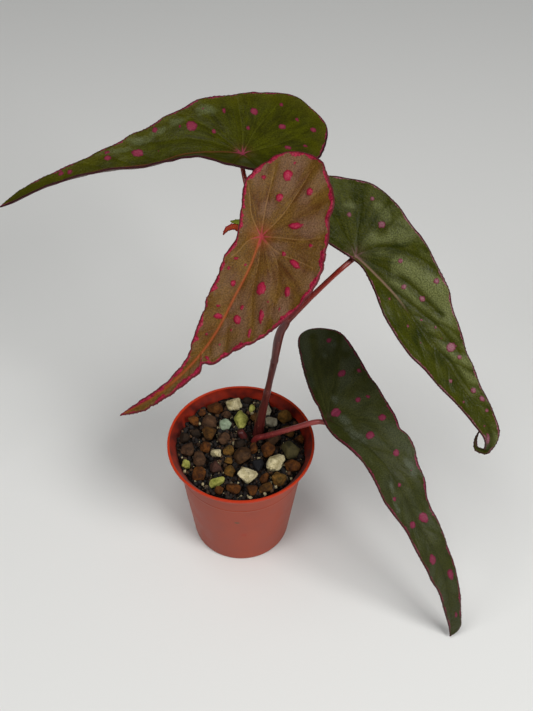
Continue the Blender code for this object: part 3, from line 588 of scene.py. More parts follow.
def leaf_skin(name, dark, light, sheen, margin, vein, midrib, midrib_show, midrib_end, vein_show,
              glow, star_show, crimson, pink, fringe, back, gloss):
    """Living begonia leaf: waxy skin over a cell layer, satin, and painted paler between the veins as a
    sheen that stands for reflected light.
    """
    material, tree, shader = new_material(name)
    place_mm, rays = [node(tree, "ShaderNodeAttribute", attribute_name=key, out=1)
                      for key in ("blade_mm", "rays")]
    edge_mm, rim_mm, spot_mm, vein_mm, side_mm, midrib_mm, painted_sheen_share, under = [
        node(tree, "ShaderNodeAttribute", attribute_name=key, out=2)
        for key in ("edge_mm", "rim_mm", "spot_mm", "vein_mm", "side_mm", "midrib_mm", "painted_sheen_share", "under")]
    patches = node(tree, "ShaderNodeTexNoise", {"Vector": place_mm, "Scale": 1 / PATCH_MM, "Detail": 4.0})
    streaks = node(tree, "ShaderNodeTexNoise", {"Vector": rays, "Scale": 1.0, "Detail": 3.0})
    grain = node(tree, "ShaderNodeTexNoise", {"Vector": place_mm, "Scale": 1 / GRAIN_MM, "Detail": 3.0})
    cells = node(tree, "ShaderNodeTexVoronoi", {"Vector": place_mm, "Scale": 1 / CELL_MM},
                 feature="DISTANCE_TO_EDGE")
    wobble = node(tree, "ShaderNodeTexNoise", {"Vector": place_mm, "Scale": 1.6, "Detail": 3.0})
    ragged = node(tree, "ShaderNodeMath", {0: wobble, 1: 0.8, 2: -0.4}, operation="MULTIPLY_ADD")
    radius = node(tree, "ShaderNodeVectorMath", {0: place_mm}, 1, operation="LENGTH")

    # base, margin and painted sheen (a paler tone standing for reflected light), under a fine grain that
    # multiplies them
    mottle = node(tree, "ShaderNodeMath", {0: patches, 1: streaks}, operation="ADD")
    patch = node(tree, "ShaderNodeMapRange", {"Value": mottle, "From Min": 0.7, "From Max": 1.3})
    outer = node(tree, "ShaderNodeMapRange", {"Value": edge_mm, "From Min": MARGIN_TINT_MM,
                                              "From Max": 1.0}, interpolation_type="SMOOTHSTEP")
    outer = node(tree, "ShaderNodeMath", {0: outer, 1: patches}, operation="MULTIPLY")
    fleck = node(tree, "ShaderNodeMapRange", {"Value": grain, "From Min": 0.35, "From Max": 0.6,
                                              "To Min": 0.7, "To Max": 1.0})
    # painted sheen: the share stored with the points, broken by fine grain, turns the colour paler for
    # reflected light
    painted_sheen_mix = node(tree, "ShaderNodeMath", {0: painted_sheen_share, 1: fleck}, operation="MULTIPLY")
    colour = linear(dark)
    for share, tone in ((patch, light), (outer, margin), (painted_sheen_mix, sheen)):
        colour = node(tree, "ShaderNodeMix", {0: share, 6: colour, 7: linear(tone)}, 2, data_type="RGBA")
    speck = node(tree, "ShaderNodeMapRange", {"Value": grain, "From Min": 0.3, "From Max": 0.7,
                                              "To Min": 0.6, "To Max": 1.4})
    colour = node(tree, "ShaderNodeMix", {0: 1.0, 6: colour, 7: speck}, 2, data_type="RGBA",
                  blend_type="MULTIPLY")

    # veins, midrib and the red star round the stalk
    vein_width = node(tree, "ShaderNodeMapRange", {"Value": radius, "From Min": 0.0, "From Max": 30.0,
                                                   "To Min": 0.2, "To Max": 0.08})
    vein_share = node(tree, "ShaderNodeMath", {0: vein_mm, 1: vein_width}, operation="DIVIDE")
    line = node(tree, "ShaderNodeMapRange", {"Value": vein_share, "From Min": 1.7, "From Max": 0.4,
                                             "To Max": vein_show}, interpolation_type="SMOOTHSTEP")
    side_line = node(tree, "ShaderNodeMapRange", {"Value": side_mm, "From Min": 0.24, "From Max": 0.05,
                                                  "To Max": 0.35 * vein_show})
    lines = node(tree, "ShaderNodeMath", {0: line, 1: side_line}, operation="MAXIMUM")
    rib = node(tree, "ShaderNodeMapRange", {"Value": midrib_mm, "From Min": RIB_MM, "From Max": 0.1,
                                            "To Max": midrib_show}, interpolation_type="SMOOTHSTEP")
    rib_fade = node(tree, "ShaderNodeMapRange", {"Value": radius, "From Min": midrib_end,
                                                 "From Max": 0.6 * midrib_end})
    rib = node(tree, "ShaderNodeMath", {0: rib, 1: rib_fade}, operation="MULTIPLY")
    blush = node(tree, "ShaderNodeMapRange", {"Value": radius, "From Min": BLUSH_MM, "From Max": 0.5,
                                              "To Max": glow}, interpolation_type="SMOOTHSTEP")
    along_vein = node(tree, "ShaderNodeMapRange", {"Value": vein_mm, "From Min": 0.36, "From Max": 0.1},
                      interpolation_type="SMOOTHSTEP")
    near_stalk = node(tree, "ShaderNodeMapRange", {"Value": radius, "From Min": STAR_MM, "From Max": 0.8,
                                                   "To Max": star_show}, interpolation_type="SMOOTHSTEP")
    ray = node(tree, "ShaderNodeMath", {0: along_vein, 1: near_stalk}, operation="MULTIPLY")
    centre_reach = node(tree, "ShaderNodeMath", {0: ragged, 1: 1.5, 2: STAR_CENTRE_MM},
                        operation="MULTIPLY_ADD")
    centre = node(tree, "ShaderNodeMapRange", {"Value": radius, "From Min": centre_reach, "From Max": 0.2,
                                               "To Max": star_show}, interpolation_type="SMOOTHSTEP")
    star = node(tree, "ShaderNodeMath", {0: ray, 1: centre}, operation="MAXIMUM")

    # spots and rim, both from crimson to pink, the pink middles of the spots partly a painted highlight on
    # their domes, then the fringe at the very edge and the underside
    spot_edge = node(tree, "ShaderNodeMath", {0: spot_mm, 1: ragged}, operation="ADD")
    in_spot = node(tree, "ShaderNodeMapRange", {"Value": spot_edge, "From Min": -0.02, "From Max": 0.16},
                   interpolation_type="SMOOTHSTEP")
    # painted highlight, in part: the middle of each spot turns pinker, as light catches its dome
    spot_middle_highlight = node(tree, "ShaderNodeMapRange", {"Value": spot_edge, "From Min": 0.1, "From Max": 0.6})
    spot_mix = node(tree, "ShaderNodeMath", {0: spot_middle_highlight, 1: grain}, operation="MULTIPLY")
    spot_fill = node(tree, "ShaderNodeMapRange", {"Value": spot_mix, "From Max": 0.5})
    rim_edge = node(tree, "ShaderNodeMath", {0: rim_mm, 1: ragged}, operation="ADD")
    in_rim = node(tree, "ShaderNodeMapRange", {"Value": rim_edge, "From Min": -0.05, "From Max": 0.15},
                  interpolation_type="SMOOTHSTEP")
    rim_fill = node(tree, "ShaderNodeMapRange", {"Value": wobble, "From Min": 0.42, "From Max": 0.6})
    spot_colour, rim_colour = [
        node(tree, "ShaderNodeMix", {0: fill, 6: linear(crimson), 7: linear(pink)}, 2, data_type="RGBA")
        for fill in (spot_fill, rim_fill)]
    outermost = node(tree, "ShaderNodeMapRange", {"Value": edge_mm, "From Min": FRINGE_MM,
                                                  "From Max": 0.02}, interpolation_type="SMOOTHSTEP")
    behind = node(tree, "ShaderNodeMath", {0: under, 1: UNDERSIDE_SHARE}, operation="MULTIPLY")
    for share, tone in ((lines, linear(vein)), (rib, linear(midrib)), (blush, linear(midrib)),
                        (star, linear(pink)), (in_spot, spot_colour), (in_rim, rim_colour),
                        (outermost, linear(fringe)), (behind, linear(back))):
        colour = node(tree, "ShaderNodeMix", {0: share, 6: colour, 7: tone}, 2, data_type="RGBA")
    tree.links.new(colour, shader.inputs["Base Color"])

    dull = node(tree, "ShaderNodeMapRange", {"Value": grain, "From Min": 0.3, "From Max": 0.7,
                                             "To Min": gloss - 0.07, "To Max": gloss + 0.1})
    rough = node(tree, "ShaderNodeMath", {0: in_spot, 1: -0.1, 2: dull}, operation="MULTIPLY_ADD")
    tree.links.new(rough, shader.inputs["Roughness"])
    net = node(tree, "ShaderNodeMath", {0: cells, 1: 0.25}, operation="MINIMUM")
    relief = node(tree, "ShaderNodeMath", {0: grain, 1: 0.3, 2: net}, operation="MULTIPLY_ADD")
    bump = node(tree, "ShaderNodeBump", {"Height": relief, "Strength": 0.6, "Distance": 0.3 * MM})
    tree.links.new(bump, shader.inputs["Normal"])
    shader.inputs["IOR"].default_value = LEAF_IOR
    shader.inputs["Specular IOR Level"].default_value = 0.13
    return material

# %% [markdown]
# The front leaf is the youngest of the big ones and still bronze, with a thick, beaded crimson
# margin and the plumpest spots. Its wide half faces right in the picture, and the long narrow tail
# sweeps down to the left.

# %% Front leaf
LEAF_FRONT = Blade(
    name="leaf_front_blade",
    midrib=[(6.7, -6, 156.3), (3.8, -12, 150.3), (0, -19, 145.8), (-8.5, -30, 134.4),
            (-19.7, -37, 124.2), (-35, -40, 113.4)],
    face=(-0.25, -0.65, 0.72),
    wide_side=-1,
    wide_fold=(14, 14, 8),
    narrow_fold=(12, 14, 10),
    outline=[(72, 0), (65, 1.9), (56, 2.2), (47, 2.9), (43.4, 3.3), (41.2, 2.4), (39.2, 4.8),
             (34, 7.4), (27, 13.3), (20, 18.1), (12.5, 21.5), (3, 22.3), (-5, 20.7), (-10, 18.8),
             (-16, 18), (-22, 13.4), (-26.5, 9), (-27.5, 2.5), (-24.5, -4), (-20, -7.8), (-13.5, -10),
             (-3, -7.5), (2, -6.7), (8, -7.7), (22, -6.9), (36, -4.8), (43, -2.2), (52, -1.2),
             (62, -0.8)],
    fan=(10, 22),
    vein_paths=(((0, 0), (-7.2, 3.8), (-13.5, 5.6), (-21.2, 7.1)), ((0, 0), (-7.4, -1.6), (-17, -3)),
                ((0, 0), (-5, -4.9), (-10, -7.4)), ((0, 0), (-1.5, 6.9), (-2.8, 13.7), (-5.4, 19.4)),
                ((0, 0), (5.4, 7.6), (11.8, 10.7), (20.2, 13.5)),
                ((0, 0), (8.3, 2.1), (15.9, 4.1), (22.9, 7.9)), ((0, 0), (2, -2.9), (6.7, -5.1)),
                ((0, 0), (2.6, 5.8), (3.6, 15))),
    spots=((-19.5, 1.1, 1.9, 1.5, 20), (-16.8, 9.6, 1.3, 1.1), (-12.5, 1.3, 1.3, 1.2),
           (-6, 9.5, 2.5, 1.05, 110), (-16.9, -5.6, 0.7, 0.8), (-23.8, 1.7, 0.5, 0.5),
           (-1.8, 16.5, 0.6, 0.7), (2.8, 9.1, 0.9, 0.7, 60), (4.6, 13.6, 2.1, 1, 70),
           (14.8, 6.7, 2.1, 1.5, 25), (13.2, 14.8, 1.7, 0.95, 30), (21.7, 10.9, 2.1, 0.85, 25),
           (25.3, 4.2, 1.6, 1.2, 60), (27, -1.8, 1.4, 0.9, 110), (24.3, -3.2, 0.7, 0.5, 110),
           (16.4, -2.2, 1, 0.8), (21.7, 3.8, 0.7, 0.6), (9.6, -1.4, 0.5, 0.5),
           (8.9, -4.6, 0.9, 0.5, 110), (12.8, -5.5, 0.6, 0.6), (17.4, 10.7, 0.4, 0.5),
           (18.2, 15.2, 0.7, 0.35, 20), (28.6, 4, 0.5, 0.4), (26.8, 9.8, 1.4, 0.6, 20),
           (33.5, -2.1, 0.5, 0.4), (33.9, 3.2, 0.4, 0.5), (39, 2.6, 0.5, 1.1), (43.3, 2.5, 1.3, 0.5),
           (49.1, 0.8, 0.3, 0.3)),
    quilt=0.4,
    vein_depth=0.1,
    wave=0.6,
    crinkle=0.5,
    bead=0.35,
    rim_width=0.75,
    spot_rise=0.5,
    # sheen: how strongly each region is painted paler, as painted sheen for reflected light
    sheen=(0.5, 0.35, 0.6),
    sheen_patches=((-16.8, 2, 4.5, 3), (-8.3, -1, 3, 2.5), (-6.6, 13.7, 3, 4), (2.6, 5.8, 3, 2.5),
                   (22.3, 1.5, 5, 1.6), (28, 1.7, 4, 1.4), (17.2, 15.2, 4, 2.5), (35, 3.6, 3, 2)),
)
bronze_skin = leaf_skin("bronze begonia leaf, waxy", dark="#4a2a0e", light="#664a1c", sheen="#684c3c",
                        margin="#5a4010", vein="#846238", midrib="#94401e", midrib_show=0.65,
                        midrib_end=110.0, vein_show=0.5, glow=0.3, star_show=0.7,
                        crimson="#6e0a22", pink="#94203a", fringe="#561c20", back="#5c2422",
                        gloss=0.4)
grow(LEAF_FRONT, bronze_skin, "leaf_front")

# %% [markdown]
# The back leaf lies almost level and points left. It is the greenest, and its narrow half is folded
# up steeply, so from the front the near edge shows as a paler strip: that half is painted paler, a
# painted sheen that stands for the light it reflects.

# %% Back leaf
LEAF_BACK = Blade(
    name="leaf_back_blade",
    midrib=[(0, 33, 157.5), (-8, 32, 158.5), (-16.5, 31, 158.5), (-29, 29, 155.5), (-44, 27, 154.5),
            (-61, 24.5, 150.5), (-78.5, 22, 142.5)],
    face=(0, 0, 1),
    wide_side=1,
    wide_fold=(20, 18, 10),
    narrow_fold=(20, 38, 42, 42, 38),
    outline=[(82, 0), (74, 2.6), (65, 3.5), (55, 4.9), (43, 8.3), (32.5, 13.4), (25.5, 15), (19, 17),
             (12.5, 20.5), (0.5, 23.2), (-14.5, 26.8), (-20.5, 26.2), (-25, 23.8), (-28.8, 20),
             (-30, 15.5), (-26, 3), (-18, -8), (-10, -13.5), (-1.5, -15.5), (5, -17), (14, -13),
             (26, -9.5), (40, -8), (55, -6.5), (68, -4), (76, -1.5)],
    fan=(8, 19),
    vein_paths=(((0, 0), (-0.4, 9.5), (0.5, 19.6)), ((0, 0), (-5.1, 10.3), (-12.2, 20.6)),
                ((0, 0), (-8, 3.4), (-20.2, 11.3), (-28.9, 20.9)), ((0, 0), (5.4, 5.2), (15.6, 14.1)),
                ((0, 0), (8.6, 3.9), (25.4, 7.8)), ((0, 0), (3.1, -7.6), (5, -14)),
                ((0, 0), (-1.8, -5), (-3.5, -11.4))),
    spots=((11.7, 16.9, 0.4, 0.6), (5.3, 16.1, 0.6, 1.2), (-4.8, 17, 1.4, 1.4),
           (-14.4, 21.9, 0.7, 0.9), (-19.6, 17, 0.7, 0.9), (-14.1, 12.8, 1.4, 1.1),
           (-25, 14.2, 1.1, 1.3), (-2.4, 10.2, 0.7, 0.8), (8.7, 8.2, 0.8, 1),
           (15.3, 10.5, 1.6, 2.1), (18.5, 10.8, 0.4, 0.6), (26.3, 12.5, 1.1, 1.2),
           (33.7, 5.1, 2, 1.6), (26.5, 4.2, 0.3, 0.4), (43.3, 4.3, 1.2, 1.2),
           (43.3, 6.4, 0.9, 0.6), (58.8, 2.6, 1, 0.9), (55.8, 2.2, 1, 0.9),
           (-15.4, 4.2, 1.2, 1), (-21.4, 6.3, 0.9, 0.7)),
    wave=0.2,
    crinkle=0.16,
    bead=0.12,
    rim_width=0.36,
    spot_rise=0.15,
    sheen=(0.05, 0.5, 0.05),
    sheen_patches=((10.8, 16.4, 3, 2), (25.1, 11.6, 3.5, 1.8), (32.9, 9.8, 4, 1.6), (39.9, 7, 3, 1.4),
                   (18.6, 13.2, 2.5, 1.6)),
)
green_skin = leaf_skin("green begonia leaf, waxy", dark="#242400", light="#3c3e00", sheen="#565c3c",
                       margin="#424000", vein="#5a5c1c", midrib="#5e2c1e", midrib_show=0.6,
                       midrib_end=60.0, vein_show=0.22, glow=0.2, star_show=1.0,
                       crimson="#581428", pink="#782c3e", fringe="#2c0a12", back="#4a2420",
                       gloss=0.42)
grow(LEAF_BACK, green_skin, "leaf_back")

# %% [markdown]
# The right leaf arches over and down to the right, and its tip curls round in a thin loop. The
# broad half catches the light, so it is painted with the strongest silver sheen: partly the lustre of
# the domed surface cells, partly painted reflection of the lamps.

# %% Right leaf
LEAF_RIGHT = Blade(
    name="leaf_right_blade",
    midrib=[(37.2, 12, 133.3), (44, 7.5, 129), (50, 3.5, 124.5), (57.5, -1.5, 116.5),
            (64, -5.5, 110), (72.5, -11.5, 99), (81, -17, 89), (85, -20, 82), (85.5, -20, 76),
            (84.6, -19.2, 72.4), (82.5, -18.3, 72.3), (81.3, -17.6, 76.3), (81.9, -17, 80.7)],
    face=(0, -0.45, 0.9),
    wide_side=-1,
    wide_fold=(18, 18, 10),
    narrow_fold=(18, 20, 10),
    outline=[(99, 0), (92, 0.5), (86.5, 0.9), (82, 1.7), (77, 3.2), (66, 4.6), (52.5, 7), (45, 8.2),
             (38.5, 10.3), (30.5, 13.6), (21, 16), (12.5, 18.2), (-2.5, 20.8), (-9, 21.2),
             (-15.5, 19), (-24.3, 13.3), (-29, 6), (-25, -1.5), (-16, -4), (-8.5, -3), (-0.5, -1.5),
             (4, -1.2), (8.5, -2.8), (17.5, -7.1), (25, -8.9), (34, -9.8), (43, -8.5), (56, -5.7),
             (70, -3.8), (79, -2), (84.5, -1), (92, -0.5)],
    fan=(11, 20),
    vein_paths=(((0, 0), (-3.3, 4.1), (-8.2, 10.8)), ((0, 0), (-3.7, 6), (-3.8, 11.7), (-4.3, 18.7)),
                ((0, 0), (1.5, 4.2), (4.8, 8.6), (11.2, 12.4), (16.4, 14.3)),
                ((0, 0), (9.9, 3.3), (18.6, 5.9), (25.2, 6.9)), ((0, 0), (-3.8, 1.4), (-11.1, 3.6)),
                ((15, 0), (21.3, 1.6), (31.9, 4.3), (38.9, 5)),
                ((30, 0), (38.3, -1), (47.3, 1.5), (52.8, 1.6))),
    spots=((-8.9, 17.2, 0.8, 0.8), (-10.8, 8.4, 0.8, 0.8), (-1, 12.9, 1.3, 1.2),
           (11.2, 8.8, 0.8, 0.8), (22.3, 13.3, 0.9, 1.1), (17.7, 3.8, 0.9, 1), (24.3, 6.3, 1.1, 1),
           (17.4, -2.6, 0.5, 0.6), (28.2, -3.3, 0.5, 0.6), (30, 2, 0.5, 0.5), (34.9, 4.1, 0.5, 0.5),
           (38.9, 3.4, 0.3, 0.3), (43.2, 4.4, 1.6, 1.8), (47.5, 4.9, 0.9, 0.8),
           (35.2, -3.6, 0.3, 0.4), (52.6, -2, 0.7, 0.8), (60.4, 2.8, 1.1, 1), (64.5, 3.4, 1.1, 0.9),
           (68.7, 2.6, 0.7, 0.7), (61, -2.6, 0.5, 0.6), (73, -0.7, 0.4, 0.4), (78.5, -1, 3.2, 0.8)),
    crinkle=0.12,
    bead=0.1,
    rim_width=0.3,
    spot_rise=0.12,
    sheen=(0.85, 0.04, 0.08),
    sheen_patches=((-2.3, 16.1, 2.5, 2), (5.7, 14.7, 3, 2.5), (-12.8, 11, 2, 1.6), (-6.2, 17, 2, 1.6),
                   (12.8, 6.3, 3, 2)),
)
# silver sheen on the broad half: partly the leaf's own lustre, partly painted reflection of the lamps
sheen_painted_skin = leaf_skin("sheen_painted begonia leaf, waxy", dark="#1e2400", light="#3c3e06", sheen="#62663c",
                        margin="#363a00", vein="#262a04", midrib="#8c6e5c", midrib_show=0.6,
                        midrib_end=26.0, vein_show=0.3, glow=0.1, star_show=0.35,
                        crimson="#5c2230", pink="#80505a", fringe="#34140e", back="#4a2420",
                        gloss=0.38)
grow(LEAF_RIGHT, sheen_painted_skin, "leaf_right")

# %% [markdown]
# The low leaf is the oldest. It hangs over the rim almost to the ground, and its skin has gone dark
# green, with a few bluish patches of painted sheen that stand for light reflected from its waxy skin.

# %% Low leaf
LEAF_LOW = Blade(
    name="leaf_low_blade",
    midrib=[(31.3, -4, 70), (37, -9.5, 70.5), (45, -17.5, 71), (52, -24.5, 68), (57, -29.5, 61.5),
            (62, -34, 52.5), (68.5, -40.5, 44), (72, -43.5, 37), (77.5, -49.5, 16), (79.5, -51, 1.4)],
    face=(0, -0.2, 1),
    wide_side=-1,
    wide_fold=(12, 12, 10),
    narrow_fold=(15, 15, 12),
    outline=[(109, 0), (106, 3.4), (98, 3.9), (82, 4.4), (67, 4.9), (52.5, 6.6), (45, 7),
             (38.5, 8.8), (32.5, 9.9), (29, 11.6), (25, 12.5), (22, 12.3), (18, 14.9), (8, 19.1),
             (-6, 25), (-13, 28.5), (-21, 30.8), (-27, 30.7), (-32, 28), (-35.5, 23.5), (-26, 14.2),
             (-11, 4), (-4.5, 1), (0, -1.8), (6, -4.3), (16.5, -5.6), (22, -5.8), (31, -8.1),
             (37, -8.4), (51.5, -6), (64, -6.5), (72.5, -5.7), (81, -3.5), (94, -1.7), (103, -0.4)],
    fan=(13, 23),
    vein_paths=(((0, 0), (1.2, 5.3), (6.7, 6.6), (15, 7.2), (21.3, 6)),
                ((0, 0), (-4.9, 3.8), (-14.4, 10.6), (-23.3, 18.7)),
                ((0, 0), (-3.3, 4.8), (-8.8, 13.9), (-16.7, 24.7)), ((12, 0), (18.9, 0.6), (25.7, 4.8)),
                ((26, 0), (34.7, 3), (44.2, 3.6))),
    spots=((-22.8, 26.3, 1.2, 1.2), (-8.2, 17.2, 1.6, 1.6), (-3.2, 21.2, 1, 0.9),
           (4.3, 11.7, 1.1, 1.1), (6.5, 14.7, 0.8, 0.7), (0.8, 3.5, 1.9, 1.8),
           (15.5, 11.4, 1.3, 1.4), (16.6, 3.6, 1.5, 1.6), (26.8, 5.6, 1.1, 1.3),
           (33.9, 6.4, 0.3, 0.4), (36.1, 0.1, 0.8, 0.8), (38.7, -4.5, 0.8, 0.9),
           (51.6, 2.7, 2.2, 1.7), (51.4, -2.4, 1.4, 1.3), (66.1, -2.2, 2, 1.5),
           (76.2, 2.4, 2.4, 1.2), (96.4, 2.2, 1.7, 0.6)),
    crinkle=0.16,
    bead=0.14,
    rim_width=0.36,
    spot_rise=0.14,
    sheen=(0.2, 0.2, 0.35),
    sheen_patches=((-19.6, 25.5, 1.8, 1.5), (-19.4, 20.2, 1.5, 1.2), (-3.1, 7.4, 2, 1.4), (5, 3, 3, 1.8),
                   (12, 0.8, 5, 2), (34.5, -3, 2, 1.3), (42, -5.1, 2.2, 1), (33, 6.5, 3, 1.6)),
)
dark_skin = leaf_skin("old begonia leaf, waxy", dark="#292c12", light="#383a18", sheen="#4e5344",
                      margin="#2c3008", vein="#1e220a", midrib="#23260f", midrib_show=0.3,
                      midrib_end=90.0, vein_show=0.25, glow=0.05, star_show=0.1,
                      crimson="#5a142a", pink="#742c40", fringe="#3c1c18", back="#40201c",
                      gloss=0.45)
grow(LEAF_LOW, dark_skin, "leaf_low")

# %% [markdown]
# At the top of the cane a new leaf is just unrolling behind the front leaf. It is red-orange and
# still curled, next to the thin green stipule that had wrapped it.

# %% Young leaf and stipule
YOUNG_LEAF = Blade(
    name="young_leaf_blade",
    midrib=[(0.2, 12.8, 142.4), (-2.2, 12.4, 144.2), (-4.2, 12.1, 143.6), (-5.7, 11.6, 141.4)],
    face=(-0.1, -0.5, 0.85),
    wide_side=-1,
    wide_fold=(40, 45, 30),
    narrow_fold=(40, 45, 30),
    outline=[(7.6, 0), (5.6, 0.5), (3, 0.8), (0.5, 0.7), (-0.7, 0), (0.5, -0.7), (3, -0.8), (5.6, -0.5)],
    fan=(3, 5),
    quilt=0.1,
    vein_depth=0.05,
    wave=0.2,
    crinkle=0.3,
    bead=0.08,
    rim_width=0.3,
)
STIPULE = Blade(
    name="stipule_blade",
    midrib=[(1.6, 15.6, 141.2), (-0.4, 15.8, 143.2), (-3.3, 15.3, 144.1)],
    face=(-0.2, -0.9, 0.4),
    wide_side=1,
    wide_fold=(25, 20),
    narrow_fold=(25, 20),
    outline=[(6, 0), (4, 0.6), (1.5, 0.9), (-0.6, 0), (1.5, -0.9), (4, -0.6)],
    fan=(2, 4),
    quilt=0.0,
    vein_depth=0.0,
    wave=0.0,
    crinkle=0.05,
    bead=0.0,
    rim_width=0.1,
)
young_skin = leaf_skin("new begonia leaf, tender", dark="#8a2c14", light="#a4481c", sheen="#b06a3c",
                       margin="#9c3c1c", vein="#b05a30", midrib="#a03c20", midrib_show=0.3,
                       midrib_end=90.0, vein_show=0.3, glow=0.0, star_show=0.0,
                       crimson="#8c1c1c", pink="#a82a24", fringe="#741c14", back="#8c3020",
                       gloss=0.4)
stipule_skin = leaf_skin("begonia stipule, papery", dark="#5c6a18", light="#849038", sheen="#98a050",
                         margin="#7c8a28", vein="#78842c", midrib="#78842c", midrib_show=0.3,
                         midrib_end=90.0, vein_show=0.3, glow=0.0, star_show=0.0,
                         crimson="#6c7a20", pink="#7c8a30", fringe="#5c6420", back="#6c7828",
                         gloss=0.5)
grow(YOUNG_LEAF, young_skin, "young_leaf", 2, 14)
grow(STIPULE, stipule_skin, "stipule", 2, 14)

# %% [markdown]
# Canes and stalks are round tubes whose thickness changes along the way. A ring of points is
# carried along a smooth path, swollen a little at each joint of the cane, where an old leaf left
# its scar. The tubes are then merged into one body, so that a fork has no inner walls.

# %% Stems
CANE_PATH = [(6.2, 6.5, 35), (6.2, 6.5, 47), (6.9, 6.4, 54.5), (9.4, 6.2, 72), (11.7, 6, 89),
             (13.7, 5.7, 104.5), (15.4, 5.5, 109.5), (13.4, 7.2, 116), (9, 9.5, 124),
             (4, 11.8, 132), (0.4, 13.6, 139.6)]
CANE_RADII = (2.0, 2.1, 1.75, 1.3, 1.15, 1.3, 1.6, 1.25, 1.35, 1.0, 0.8)
STALK_TO_RIGHT = [(15.4, 5.5, 109.5), (18.4, 6.2, 113.2), (24.8, 8, 120.6), (32.2, 10.3, 128.6)]
STALK_TO_FRONT = [(9, 9.5, 124), (9.2, 6.5, 131), (8.2, 2.5, 141)]
STALK_TO_BACK = [(3, 12.3, 133.5), (2.6, 18, 138.6), (1.4, 27, 148.8)]
STALK_TO_LOW = [(4.3, 3.1, 37), (4.3, 3, 45.5), (5.4, 2.5, 49.6), (10, 1.2, 53.4), (20, -1.5, 61.7),
                (28, -3.2, 67.3)]
BUD_PATH = [(0.6, 5.2, 38), (0.6, 5.2, 47.4), (-0.5, 5.5, 50.4)]
STEM_SIDES = 32
RING_STEP = 0.6
JOINTS = (54.5, 72.0, 89.0)
JOINT_SWELL = 0.14
JOINT_LENGTH = 0.9
END_LIFTS = (-1.8, -0.6)
FLARE_LENGTH = 1.2


def stem_end(blade):
    """The last two points of a stalk, straight up to the underside of its blade."""
    return [tuple(p) for p in bend(blade, np.zeros(2), np.zeros(2), np.array(END_LIFTS))]


def stem(name, path, radii, seed, flare=0.0):
    """Rings at even steps along a smooth path: centre + radius * (cos * side + sin * up)."""
    knots = chord_knots(path)
    count = max(12, int(knots[-1] / RING_STEP))
    at = np.linspace(0, knots[-1], count)
    centre = smooth_through(knots, path, at)
    heading = np.gradient(centre, axis=0)
    heading /= np.linalg.norm(heading, axis=1, keepdims=True)
    side = np.cross(heading, (0, 1, 0))
    side /= np.linalg.norm(side, axis=1, keepdims=True)
    up = np.cross(side, heading)
    radius = np.interp(at, np.linspace(0, knots[-1], len(radii)), radii)
    radius = radius + flare * np.exp(-((knots[-1] - at) / FLARE_LENGTH) ** 2)
    angle = np.linspace(0, 2 * np.pi, STEM_SIDES, endpoint=False)
    ring = side[:, None] * np.cos(angle)[None, :, None] + up[:, None] * np.sin(angle)[None, :, None]
    skin = centre[:, None] + radius[:, None, None] * ring
    flat = skin.reshape(-1, 3)
    bumps = 0.05 * rough_noise(flat * (1, 1, 0.35), 1.6, 2, seed)
    swell = sum(JOINT_SWELL * np.exp(-((flat[:, 2] - z) / JOINT_LENGTH) ** 2) for z in JOINTS)
    grow = (bumps + (swell if name == "cane_skin" else 0)).reshape(skin.shape[:2])
    skin = skin + ring * grow[..., None]
    ends = np.repeat(centre[[0, -1]][:, None], STEM_SIDES, axis=1)
    skin = np.concatenate([ends[:1], skin, ends[1:]])
    faces = grid_faces(len(skin), STEM_SIDES, False, True)
    return mesh_piece(name, skin, faces, {})


def combined(piece, others, operation):
    """One body from a piece and others that overlap it, by a Boolean that is applied at once."""
    bag = bpy.data.collections.new("bag")
    bpy.context.scene.collection.children.link(bag)
    for other in others:
        bpy.context.scene.collection.objects.unlink(other)
        bag.objects.link(other)
    change = piece.modifiers.new("change", "BOOLEAN")
    change.operation, change.operand_type, change.solver = operation, "COLLECTION", "MANIFOLD"
    change.collection = bag
    bpy.context.view_layer.update()
    mesh = bpy.data.meshes.new_from_object(piece.evaluated_get(bpy.context.evaluated_depsgraph_get()))
    piece.modifiers.clear()
    piece.data = mesh
    for other in others:
        bpy.data.objects.remove(other)
    bpy.data.collections.remove(bag)
    mesh.shade_smooth()
    return piece

# %% [markdown]
# The cane is maroon and smooth like a polished twig, with faint streaks along it and pale pores,
# called lenticels. The stalk of the low leaf is fresher and pinker. Both are waxy, so they keep a
# soft highlight.

# %% Stem material
def stem_skin(name, dark, light, tint_top, top_at, gloss):
    """Living stem, waxy: streaks stretched along Z, pale lenticels, another tone towards its top."""
    material, tree, shader = new_material(name)
    coords = node(tree, "ShaderNodeTexCoord", out=3)
    stretched = node(tree, "ShaderNodeMapping", {0: coords, 3: (1000, 1000, 160)})
    streak = node(tree, "ShaderNodeTexNoise", {"Vector": stretched, "Scale": 0.9, "Detail": 4.0})
    share = node(tree, "ShaderNodeMapRange", {"Value": streak, "From Min": 0.35, "From Max": 0.65})
    colour = node(tree, "ShaderNodeMix", {0: share, 6: linear(dark), 7: linear(light)}, 2, data_type="RGBA")
    height = node(tree, "ShaderNodeSeparateXYZ", {0: coords}, 2)
    rising = node(tree, "ShaderNodeMapRange", {"Value": height, "From Min": top_at[0] * MM,
                                               "From Max": top_at[1] * MM, "To Max": 0.8})
    colour = node(tree, "ShaderNodeMix", {0: rising, 6: colour, 7: linear(tint_top)}, 2, data_type="RGBA")
    pores = node(tree, "ShaderNodeTexVoronoi", {"Vector": coords, "Scale": 700.0})
    pore = node(tree, "ShaderNodeMapRange", {"Value": pores, "From Min": 0.16, "From Max": 0.1,
                                             "To Max": 0.35})
    colour = node(tree, "ShaderNodeMix", {0: pore, 6: colour, 7: linear("#b08068")}, 2, data_type="RGBA")
    tree.links.new(colour, shader.inputs["Base Color"])
    bump = node(tree, "ShaderNodeBump", {"Height": streak, "Strength": 0.35, "Distance": 0.15 * MM})
    tree.links.new(bump, shader.inputs["Normal"])
    shader.inputs["Roughness"].default_value = gloss
    shader.inputs["IOR"].default_value = LEAF_IOR
    return material


